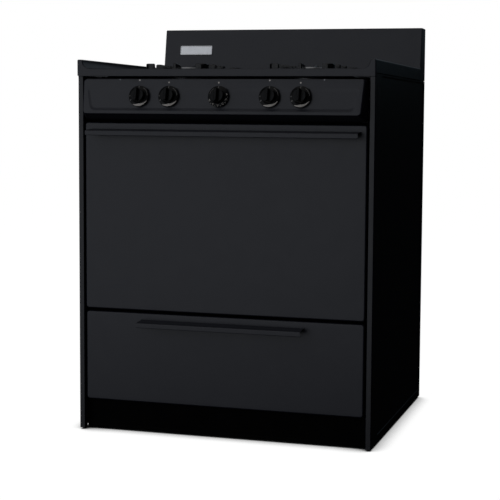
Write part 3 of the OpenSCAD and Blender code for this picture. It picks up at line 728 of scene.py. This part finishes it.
def digits(text, hour, r, size):
    """Plain numerals on the skirt, feet towards the middle of the knob."""
    curve = bpy.data.curves.new("digits", "FONT")
    curve.body = text
    curve.size = size
    curve.align_x = "CENTER"
    curve.align_y = "CENTER"
    made = new_object("digits", curve)
    mesh = bpy.data.meshes.new_from_object(made.evaluated_get(bpy.context.evaluated_depsgraph_get()))
    cx, cy = clock(hour, r)
    turn = Matrix.Rotation(math.radians(-30 * hour), 2)
    verts = []
    for v in mesh.vertices:
        spun = turn @ Vector((v.co.x, v.co.y))
        x, y = cx + spun.x, cy + spun.y
        verts.append((x, y, skirt_height(x, y)))
    faces = [tuple(p.vertices) for p in mesh.polygons]
    bpy.data.objects.remove(made)
    bpy.data.meshes.remove(mesh)
    bpy.data.curves.remove(curve)
    return verts, faces


def knob_marks(name, turn):
    """Print on the skirt: numbers on the oven's knob, a crescent and small signs on the others."""
    if name == "oven":
        hours, tick_spacing, half_tick = (8.1, 7, 5.9, 4.8, 3.7, 2.6), 0.55, 0.04
        bright = [digits(str(200 + 50 * k), hour, 22.2, 3.4) for k, hour in enumerate(hours)]
        for k in range(11):
            hour = hours[0] - tick_spacing * k
            bright.append(arc_mark(hour - half_tick, hour + half_tick, 24.3, 25.3, 2))
        faint = [arc_mark(9.4, 11.2, 21.2, 22.4)]
    else:
        bright = [arc_mark(7.1, 3.9, crescent, 25.2, 40)]
        faint = [arc_mark(7.9, 8.15, 20, 24.6, 4), star_mark(9, 22.3, 2.4), arc_mark(1, 2.9, 22, 23.2)]
    faint.append(arc_mark(11.93, 12.07, 19.6, 24.8, 2))
    for kind, marks, look in (("print_", bright, "cream_mark"), ("faint_print_", faint, "grey_mark")):
        obj = build("knob_" + kind + name, flat_on(marks, turn), facing=PANEL_OUT, thick=0.2)
        dress(obj, "black_plastic", body="knob_body_" + name, look=look)


def knob(name, x):
    """Moulded knob: sloped skirt, round boss with a soft edge, and a grip bar across it."""
    turn = PANEL @ Matrix.Translation((x, 0, 0))
    profile = [(3.1, 12), (3.1, 0), (15, 0), (15.5, 0.6), (23, 0.6), (23.4, 0), (25.2, 0), (25.8, 0.3),
               (26, 0.8), (26, 1.7), (25.8, 2.2), (SKIRT_EDGE, SKIRT_LOW), (19, 5), (18.2, 5.4), (17.7, 6.1),
               (17.4, 7.2), (17.1, 13.4), (16.9, 14.2), (16.2, 14.9), (15.2, 15.1), (6, 15), (0, 15)]
    skirt_body = lathe([(r, KNOB_GAP + z) for r, z in profile], segments=72)
    skirt = build("knob_skirt_" + name, flat_on([skirt_body], turn))
    rises = [(0, 12), (0, 15.4), (0.25, 22), (0.6, 24.2), (1.2, 25.3), (2, 25.85), (2.8, 26)]
    steps = [(inset, KNOB_GAP + z) for inset, z in rises]
    grip = solid(inset_rings(-4.6, 4.6, -16.6, 16.6, 3.4, steps, shrink=0.5, least=1.2))
    bar = build("knob_grip_" + name, flat_on([grip], turn))
    for obj in (skirt, bar):
        dress(obj, "black_plastic", "knob_" + name, body="knob_body_" + name, angle=50)
    knob_marks(name, turn)


# ---- cooktop

RIM_LEDGE = 346
RIM_FOOT = 904
FRONT_RIM = 913.5
WELL = 898


def rim_profile():
    """Half section of the side rim from the ledge out to the skirt's foot, as (x, z)."""
    (_, out), _, (_, high) = spans("cooktop")
    flat_in, ease = out - 14, 3
    run, rise = flat_in - RIM_LEDGE, high - ease - FRONT_RIM
    curve = [(flat_in - run * (1 - math.sin(a)), FRONT_RIM + rise * (1 - math.cos(a))) for a in quarter(12)]
    curve += [(flat_in + ease * (1 - math.cos(a)), high - ease * (1 - math.sin(a))) for a in quarter(5)[1:]]
    curve += [(out - ease * (1 - math.sin(a)), high - ease * (1 - math.cos(a))) for a in quarter(5)]
    return curve + [(out, RIM_FOOT)]


def offset(points, distance):
    """Moves a polyline to its right-hand side."""
    moved = []
    for i, p in enumerate(points):
        a = Vector(points[max(i - 1, 0)])
        b = Vector(points[min(i + 1, len(points) - 1)])
        along = (b - a).normalized()
        moved.append((p[0] + along.y * distance, p[1] - along.x * distance))
    return moved


def cooktop_top():
    """The one-piece top: rims, apron and the sunk well with a raised collar round each burner."""
    _, (y0, y1), (z0, _) = spans("cooktop")
    right = rim_profile()
    left = [(-x, z) for x, z in reversed(right)]
    section = left + right
    roll, foot = 2.6, z0 + 2.4
    rings = []
    for back, z in ((7, z0 + 0.6), (2, z0 + 0.6), (0.6, z0 + 1), (0, foot)):
        rings.append([(x, y0 + back, z) for x, _ in offset(section, roll)])
    apron = len(rings)
    for a in quarter(5):
        edge = offset(section, roll * (1 - math.sin(a)))
        rings.append([(x, y0 + roll * (1 - math.cos(a)), z) for x, z in edge])
    for ring in rings[apron:-1]:
        ring[0] = (*ring[0][:2], foot)
        ring[-1] = (*ring[-1][:2], foot)
    patches = [loft(rings, closed=False)]
    for side in (left, right):
        patches.append(loft([[(x, y, z) for x, z in side] for y in (y0 + roll, y1)], closed=False))
    depth = FRONT_RIM - WELL
    dish = [(0, 0)] + soft_step(13, depth, 0.5, 10) + [(20, depth)]
    bowl = [[(x, y, FRONT_RIM) for x, y in round_rect(-RIM_LEDGE, RIM_LEDGE, y0 + roll, y1, 0.01)]]
    bowl += inset_rings(-335.5, 335.5, 11, y1 - 13.5, 26, dish, lambda x, y, d: (x, y, FRONT_RIM - d))
    patches.append(loft(bowl))
    rises = [(62, 0), (56, 0), (53.5, 0.5), (51.2, 2), (49.4, 4.4), (48.2, 5.6), (47.2, 6), (46.4, 5.6),
             (46.1, 4.6), (46, -2)]
    collar = [(r, WELL + rise) for r, rise in rises]
    loops = [bowl[-1]]
    for place in burner_places():
        verts, faces = lathe(collar, centre=place)
        patches.append((verts, faces))
        loops.append(verts[:-len(collar):len(collar)])
    obj = build("cooktop_top", patches + [filled(loops)], facing=(0, 0, 1), thick=1.4, weld=0.03)
    dress(obj, "black_enamel", "cooktop", body="cooktop_body")


def filled(loops):
    """A flat sheet between an outer loop and the loops inside it."""
    bm = bmesh.new()
    edges = []
    for loop in loops:
        made = [bm.verts.new(p) for p in loop]
        edges += [bm.edges.new((made[i], made[(i + 1) % len(made)])) for i in range(len(made))]
    bmesh.ops.triangle_fill(bm, use_beauty=True, use_dissolve=False, edges=edges)
    bm.verts.index_update()
    verts = [v.co.copy() for v in bm.verts]
    faces = [tuple(v.index for v in f.verts) for f in bm.faces]
    bm.free()
    return verts, faces


GRATES = ["grate_left_front", "grate_left_rear", "grate_right_front", "grate_right_rear"]


def burner_places():
    """Centre of each burner, from the grates that stand round them."""
    return [tuple(sum(span) / 2 for span in spans(node)[:2]) for node in GRATES]


def burners():
    """Cast heads with slotted ports, and their bright caps."""
    heads, caps = [], []
    low, top = spans("burner_caps")[2]
    below = [(9, 846.8), (9, 868), (30, 868), (33, 870.5), (38, 880), (38, 901), (37.2, 902.2), (33.5, 904.2),
             (32, 905), (32, 906.4)]
    above = [(32, 911.8), (32, low - 0.6), (31.4, low), (10, low)]
    crown = [(10, 0), (33.2, 0), (35, 0.5), (35.8, 1.4), (36, 2.6), (36, 5.4), (35.6, 6.6), (34.4, 7.7),
             (32.6, 8.5), (30.6, 8.9), (29.4, 8.7), (28.4, 8.2), (18, 8.6), (7, 9), (6, 9.4), (4.6, 10.3)]
    cap = [(r, low + rise) for r, rise in crown] + [(0, top)]
    for cx, cy in burner_places():
        rings = []
        for k, a in enumerate(full_turn(120)):
            port = 29.6 if k % 5 < 2 else 32
            outline = below + [(port, 906.6), (port, 911.6)] + above
            rings.append([(cx + r * math.cos(a), cy + r * math.sin(a), z) for r, z in outline])
        heads.append(loft(rings + [rings[0]], closed=False))
        caps.append(lathe(cap, centre=(cx, cy), segments=72))
    dress(build("burner_head_castings", heads), "aluminium", "burner_heads")
    dress(build("burner_cap_plates", caps), "chrome", "burner_caps", look="aluminium")


RING_LOW = 909
RING_TOP = 918
RING_BAR = 9


def grate_ring(half):
    """Low square ring of the grate, with a soft section."""
    section = [(8, 0.2), (1.2, 0.2), (0.4, 1), (0, 5.6), (0.5, 7.5), (2, 8.7), (4.4, 9), (6.8, 8.7),
               (8.2, 7.5), (8.7, 5.6), (8.6, 1), (8, 0.2)]
    steps = [(inset, RING_LOW + rise) for inset, rise in section]
    return loft(inset_rings(-half, half, -half, half, 16, steps, corner=8))


def grate_corner(half, high):
    """Raised corner standing on the ring, as wide as its bar."""
    middle, reach = half - RING_BAR / 2, half - 27
    rings = []
    foot = high - RING_TOP + 4
    for down, width, shorter in ((foot, 4.3, 0), (2.4, 4.3, 0), (1, 3.8, 0.6), (0.2, 2.6, 1.8)):
        end = reach + shorter
        path = fillet([(middle, end), (middle, middle), (end, middle)], [12], 6)
        outline = offset(path, width) + list(reversed(offset(path, -width)))
        rings.append([(x, y, high - down) for x, y in outline])
    return solid(rings)


def grate_finger(half, high):
    """Finger from the middle of one side, dipping towards the burner."""
    inner = 41.3
    stations = [(inner, 2.8, 7.2, 2.2), (inner + 1.8, 3.6, 5.6, 2.2), (inner + 14, 4.1, 3, 2.2),
                (half - 13, 4.3, 0.4, 0.4), (half - 3.2, 4.4, 0.2, 0.2), (half - 1.2, 4.2, 0.9, 0.2),
                (half - 0.2, 3.8, 2.5, 0.4)]
    rings = []
    for reach, w, drop, lift in stations:
        crown, foot = high - drop, RING_LOW + lift
        side = [(w - 0.8, foot), (w, foot + 1), (w, crown - 2.4), (w - 0.7, crown - 0.8), (w - 2.2, crown)]
        rings.append([(reach, -u, z) for u, z in side] + [(reach, u, z) for u, z in reversed(side)])
    return solid(rings)


def grates():
    """One casting made once: ring, raised corners, fingers and legs, then set down in all four places."""
    (x0, x1), _, (_, high) = spans(GRATES[0])
    half = (x1 - x0) / 2 - 0.2
    leg_in = half - 8.8
    places = [Vector((x, y, 0)) for x, y in burner_places()]
    middle = Matrix.Translation(places[0])
    leg = [(0, 898.7), (3.6, 898.7), (4.7, 899.6), (4.9, 901), (4.6, 904), (4.8, 907), (5.8, 911),
           (6.2, 915), (0, 915)]
    patches = flat_on([grate_ring(half)], middle)
    for k in range(4):
        turn = middle @ Matrix.Rotation(math.radians(90 * k), 4, "Z")
        patches += flat_on([grate_corner(half, high - 1), grate_finger(half, high)], turn)
        patches.append(lathe(leg, turn=turn @ Matrix.Translation((leg_in, leg_in, 0)), segments=24))
    first = remesh(build("grate_casting_left_front", patches), 1.2)
    for node, place in zip(GRATES, places):
        obj = first
        if node != GRATES[0]:
            obj = new_object(node.replace("grate_", "grate_casting_"), first.data.copy())
            obj.data.transform(Matrix.Translation((place - places[0]) * MM))
        dress(obj, "cast_iron", node, body=node + "_body", angle=60)


# ---- door and drawer

def folded_front(name, node):
    """Door or drawer front: a pan with softly rolled edges, open at the back."""
    (x0, x1), (_, deep), (z0, z1) = spans(node)
    roll = 3.2
    steps = [(0, deep)] + edge_roll(roll) + [(roll + 9, 0)]
    rings = inset_rings(x0, x1, z0, z1, 7, steps, upright)
    return pressed(name, rings, (0, -1, 0), 1.2)


def hinge_notches():
    """Blocks that clear the hinge arms at both lower corners of the door."""
    reach, low, high = spans("hinge_brackets")[0][1], 305, 330
    notches = []
    for s in (-1, 1):
        near, far = sorted((s * (reach - 12), s * (reach + 1)))
        notches.append(block((near, 3.4, low), (far, 40, high), 0.5))
    return notches


def rear_screws(name, places, face, head, segments):
    """Screw heads at (x, z) places on a face that looks back."""
    backwards = Matrix.Rotation(-math.pi / 2, 4, "X")
    turns = [Matrix.Translation((x, face, z)) @ backwards for x, z in places]
    return build(name, [lathe(head, turn=turn, segments=segments) for turn in turns])


def ledge_handle(name, node, body):
    """Folded ledge handle: sloping top, lip and a hem turned inwards."""
    (x0, x1), (y0, y1), (z0, z1) = spans(node)
    t, fall, hem = 1.5, 4, 5
    outline = fillet([(y1 - 0.2, z1 - t * 0.2), (y0, z1 - fall), (y0, z0), (y0 + hem, z0)], [2.6, 1.3], 6)
    obj = build(name, [along_x(outline, x0, x1)], facing=(0, -0.2, 1), thick=t)
    soften(obj, 0.4)
    dress(obj, "black_enamel", node, body=body)


def door():
    """Outer pan and ledge, and the lining with its plug, its round bead and its screws."""
    skin = folded_front("door_skin", "door_outer_panel")
    cut(skin, hinge_notches())
    dress(skin, "black_enamel", "door_outer_panel", body="oven_door")
    ledge_handle("door_ledge", "door_handle", "oven_door")
    (x0, x1), (_, y1), (z0, z1) = spans("door_inner_panel")
    (_, seal), _, (seal_low, seal_high) = spans("oven_gasket")
    mouth = (24 - seal, seal - 24, seal_low + 22, seal_high - 22)
    face = spans("door_outer_panel")[1][1] + 1.4
    full, bead_deep = y1 - face, 2.6
    plug = [(-3, 0)] + soft_step(4.5, full, 0, 8) + [(16, full)]
    bead = [(46, full)] + [(i, full + d) for i, d in soft_step(5, -bead_deep, 50, 6)]
    bead += [(i, full - bead_deep + d) for i, d in soft_step(5, bead_deep, 63, 6)] + [(74, full)]
    rings = []
    rim = [(0, 0), (6, 0)]
    for edges, corner, steps in (((x0, x1, z0, z1), 5.5, rim), (mouth, 16, plug), (mouth, 60, bead)):
        rings += inset_rings(*edges, corner, steps, lambda x, z, d: (x, face + d, z))
    lining = pressed("door_lining", rings, (0, 1, 0), 1.2)
    cut(lining, hinge_notches())
    dress(lining, "oven_enamel", "door_inner_panel", body="oven_door")
    first, last = 380, mouth[3]
    places = [(x, first + k * (last - first) / 3) for x in (x0 + 16, x1 - 16) for k in range(4)]
    head = [(4, -0.4), (4, 0.6), (3.4, 1.4), (1.6, 2), (0, 2.1)]
    dress(rear_screws("door_lining_screws", places, face, head, 20), "chrome", body="oven_door")


def drawer():
    """Drawer front with its ledge, and the enamelled tray behind it."""
    skin = folded_front("drawer_skin", "drawer_front")
    dress(skin, "black_enamel", "drawer_front", body="broiler_drawer")
    ledge_handle("drawer_ledge", "drawer_handle", "broiler_drawer")
    (x0, x1), (y0, y1), (low, high) = spans("drawer_tray")
    steps = [(0, high - 2.2), (0, high - 1.2), (0.2, high - 0.2), (1.2, high), (2.4, high - 0.4),
             (2.8, high - 1.4), (2.8, low + 8), (3.6, low + 3.4)]
    steps += [(inset, low + 1.2) for inset in (6, 10.4, 22.4)]
    rings = inset_rings(x0, x1, y0, y1, 10, steps, least=1.5)
    tray = pressed("drawer_tray_pan", rings, (0, 0, 1), 1)
    dress(tray, "oven_enamel", "drawer_tray", body="broiler_drawer")


def broiler_pan():
    """Dish with a flat rim, sloping walls and round corners."""
    (x0, x1), (y0, y1), (low, high) = spans("broiler_pan")
    steps = [(0, high - 2.6), (0.2, high - 0.9), (1, high), (2.2, high), (9, high), (10.6, high - 0.8),
             (12, high - 3), (15, low + 9), (17, low + 3.5)] + [(inset, low + 1.2) for inset in (21, 28, 40)]
    rings = inset_rings(x0, x1, y0, y1, 26, steps, shrink=0.6, least=3)
    pan = pressed("broiler_pan_dish", rings, (0, 0, 1), 1.1)
    dress(pan, "oven_enamel", "broiler_pan", body="broiler_pan_body")


# ---- plinth, oven and back

def toe_kick():
    """Recessed plinth sheet, turned forward at its foot and back at its top; its near-black finish is painted
    shade for the recess.
    """
    (x0, x1), (y0, y1), (z0, z1) = spans("toe_kick")
    outline = fillet([(y0, z0), (y0 + 3, z0 + 5), (y0 + 3, z1), (y1, z1)], [1.5, 3])
    obj = build("toe_kick_sheet", [along_x(outline, x0, x1)], facing=(0, -1, 0.2), thick=1.2)
    dress(obj, "black_steel", "toe_kick")


def feet():
    """Levelling feet: a round pad and the stud."""
    (x0, x1), (y0, y1), _ = spans("leveling_legs")
    r = 19
    pad = [(0, 0), (13, 0), (14.6, 0.5), (15.2, 1.4), (18.6, 5.8), (r, 6.6), (18.6, 7.3), (17.6, 7.6),
           (0, 7.6)]
    stud = [(0, 7.4), (5, 7.4), (5, 10.4), (0, 10.4)]
    patches = []
    for place in ((x, y) for x in (x0 + r, x1 - r) for y in (y0 + r, y1 - r)):
        patches += [lathe(pad, centre=place, segments=40), lathe(stud, centre=place, segments=20)]
    dress(build("levelling_feet", patches), "black_plastic", "leveling_legs")


def oven_shell():
    """Enamelled cavity with round inner corners and a vent in its back, its rack guides and floor ledges."""
    (x0, x1), (y0, y1), (z0, z1) = spans("oven_liner")
    sheet = 1.2
    inner, back = x1 - sheet, y1 - sheet
    steps = [(-sheet, y0), (0, y0 + 1.5), (0, back - 12), (1.2, back - 6.5), (4.2, back - 2.6),
             (9, back - 0.4), (14, back), (30, back)]
    rings = inset_rings(x0 + sheet, inner, z0 + 0.2, z1 - sheet, 10, steps, upright)
    shell = pressed("oven_cavity", rings, (0, -1, 0), 1)
    cut(shell, [block((-70, back - 5, 702), (70, back + 6, 728), 2)])
    dress(shell, "oven_enamel", "oven_liner")
    guides, ledges = [], []
    guide_heights = (424.4, 489.4, 554.4)
    for z in guide_heights:
        for s in (-1, 1):
            wall, out = s * (inner + 1), s * (inner - 5)
            guides.append(tube([(wall, 58, z), (out, 66, z), (out, back - 14, z), (wall, back - 8, z)], 2.3))
    for s in (-1, 1):
        low, high = sorted((s * (inner - 14), s * (inner - 0.2)))
        ledges.append(block((low, 50, z0), (high, back - 4, z0 + 1.4), 0.4))
    dress(build("rack_guides", guides), "oven_enamel")
    dress(build("oven_floor_ledges", ledges), "oven_enamel")


def gasket():
    """Braided rope round the oven mouth."""
    (x0, x1), (y0, y1), (z0, z1) = spans("oven_gasket")
    middle, r = (y0 + y1) / 2, (y1 - y0) / 2
    steps = [(4 - 4 * math.cos(a), middle + r * math.sin(a)) for a in full_turn(12)]
    rings = inset_rings(x0, x1, z0, z1, 12, steps + steps[:1], upright, corner=8)
    dress(build("oven_rope_seal", [loft(rings)]), "gasket", "oven_gasket", angle=80)


def rack(node):
    """Bright wire rack: frame rod with bent corners, a cross bar and the wires that lie on them."""
    (x0, x1), (y0, y1), (z0, _) = spans(node)
    r, bend, pitch, count = 3, 12, 38, 15
    z, middle = z0 + r, (y0 + y1) / 2
    steps = [(r - r * math.cos(a), z + r * math.sin(a)) for a in full_turn(10)]
    rings = inset_rings(x0, x1, y0, y1, bend + r, steps + steps[:1])
    patches = [loft(rings), rod((x0 + r, middle, z), (x1 - r, middle, z), r)]
    for k in range(count):
        x = pitch * (k - (count - 1) / 2)
        wire = [(x, y0 + 3, z + 1.2), (x, y0 + 8, z + 3.4), (x, y1 - 8, z + 3.4), (x, y1 - 3, z + 1.2)]
        patches.append(tube(wire, 1.95))
    dress(build(node + "_wires", patches), "chrome", node, body=node + "_body", angle=60)


def back_plate():
    """Galvanised closing sheet with a pressed stiffener, two rows of vents, a gas cut-out and screws."""
    (x0, x1), (_, y1), (z0, z1) = spans("back_panel")
    face = y1 - 1.4
    rings = [[(x, face, z) for x, z in round_rect(x0, x1, z0, z1, 1)]]
    pressing = [(0, 0)] + soft_step(7, 2.2, 2, 6) + [(16, 2.2)]
    rings += inset_rings(x0 + 26, x1 - 92, z0 + 150, 600, 30, pressing, lambda x, z, d: (x, face - d, z))
    sheet = pressed("back_sheet", rings, (0, 1, 0), 1)
    tools = [block((300, face - 12, 40), (x1 + 10, face + 12, 140), 1)]
    for z in (640, 680):
        for x in range(-280, 281, 40):
            tools.append(block((x - 12, face - 8, z), (x + 12, face + 8, z + 5), 1.2))
    cut(sheet, tools)
    dress(sheet, "galvanised", "back_panel")
    places = [(x, z) for x in (x0 + 10, x1 - 10) for z in (30, 200, 400, 600, 780, 890)]
    places += [(x, z) for z in (z1 - 8, z0 + 8) for x in (-240, -80, 80, 240)]
    head = [(4, -0.3), (4, 0.5), (3.2, 1.1), (0, 1.35)]
    dress(rear_screws("back_screws", places, face, head, 6), "chrome")


dress_cad_nodes()
side_panel(-1, "side_panel_left")
side_panel(1, "side_panel_right")
backguard()
badge()
control_panel()
shade_strip()
panel_screws()
panel_marks()
for name, x in zip(KNOBS, knob_places()):
    knob(name, x)
cooktop_top()
burners()
grates()
door()
drawer()
broiler_pan()
toe_kick()
feet()
oven_shell()
gasket()
rack("rack_upper")
rack("rack_lower")
back_plate()


# ---- floor, light and camera

def floor():
    """Glowing white floor with a painted contact shadow: ambient occlusion dims its glow close to the range."""
    half_side, shadow_reach = 14, 0.08
    bm = bmesh.new()
    bmesh.ops.create_grid(bm, x_segments=1, y_segments=1, size=half_side)
    mesh = bpy.data.meshes.new("floor")
    bm.to_mesh(mesh)
    bm.free()
    obj = new_object("floor", mesh)
    g = Graph("floor")
    set_inputs(g.shader, Base_Color=(0.1, 0.1, 0.1, 1), Roughness=0.9, Specular_IOR_Level=0)
    set_inputs(g.shader, Emission_Color=(1, 1, 1, 1))
    painted_shadow_occlusion = g.node("ShaderNodeAmbientOcclusion", samples=16)
    set_inputs(painted_shadow_occlusion, Distance=shadow_reach)
    # The glow follows the occlusion: this is the painted shadow under and round the range
    g.join(g.spread(painted_shadow_occlusion.outputs["AO"], 0, 1, 0.3, 0.78), g.shader.inputs["Emission Strength"])
    mesh.materials.append(g.material)
    obj.visible_glossy = False
    obj.visible_diffuse = False


def softbox(name, centre, target, size, radiance, tone=(1, 1, 1)):
    """Rectangular light of that radiance, turned towards its target. Places are in the frame's metres."""
    light = bpy.data.lights.new(name, "AREA")
    light.shape = "RECTANGLE"
    light.size, light.size_y = size
    light.energy = radiance * math.pi * size[0] * size[1]
    light.color = tone
    obj = new_object(name, light)
    obj.location = centre
    obj.rotation_euler = (Vector(target) - Vector(centre)).to_track_quat("-Z", "Y").to_euler()


def surroundings():
    """White to the camera and dark to everything else, as a white studio wall far away would be."""
    world = bpy.data.worlds.new("studio")
    bpy.context.scene.world = world
    world.use_nodes = True
    tree = world.node_tree
    out = tree.nodes["World Output"]
    wall = tree.nodes["Background"]
    set_inputs(wall, Color=(1, 1, 1, 1))
    room = tree.nodes.new("ShaderNodeBackground")
    set_inputs(room, Color=(0.9, 0.95, 1, 1), Strength=0.002)
    path = tree.nodes.new("ShaderNodeLightPath")
    mix = tree.nodes.new("ShaderNodeMixShader")
    for source, target in zip((path.outputs["Is Camera Ray"], room.outputs[0], wall.outputs[0]), mix.inputs):
        tree.links.new(source, target)
    tree.links.new(mix.outputs[0], out.inputs["Surface"])


def camera():
    """View from the right of the range, from just below its knobs' height and turned a little down."""
    yaw, pitch, roll = math.radians(15.3), math.radians(4.77), math.radians(0.56)
    forward = Vector((-math.sin(yaw) * math.cos(pitch), math.cos(yaw) * math.cos(pitch), -math.sin(pitch)))
    right = Vector((math.cos(yaw), math.sin(yaw), 0))
    up = right.cross(forward)
    across = right * math.cos(roll) + up * math.sin(roll)
    upward = up * math.cos(roll) - right * math.sin(roll)
    data = bpy.data.cameras.new("camera")
    data.sensor_width = 36
    data.lens = 91.584
    data.shift_x, data.shift_y = -0.12, -0.05
    data.clip_start, data.clip_end = 0.1, 60
    obj = new_object("camera", data)
    turn = Matrix((across, upward, -forward)).transposed().to_4x4()
    place = (1024.5, -2927.5, 794.5)
    obj.matrix_world = Matrix.Translation(to_frame(place)) @ turn
    bpy.context.scene.camera = obj


floor()
surroundings()
softbox("front_panel", (-1.9, -3.6, 1.3), (0, 0, 0.7), (6, 4.6), 0.58, (0.9, 0.94, 1))
softbox("ceiling", (0, -0.6, 4.2), (0, 0, 0), (4, 4), 0.4)
softbox("rear_panel", (1, 4.2, 2.7), (0, 0, 0.9), (5.5, 2), 0.17, (0.74, 0.87, 1))
softbox("right_panel", (2.3, 4.3, 1.65), (0.4, 0.3, 0.85), (2.2, 0.6), 0.16, (0.55, 0.82, 1))
camera()
view_settings = bpy.context.scene.view_settings
view_settings.view_transform = "Standard"
view_settings.look = "None"
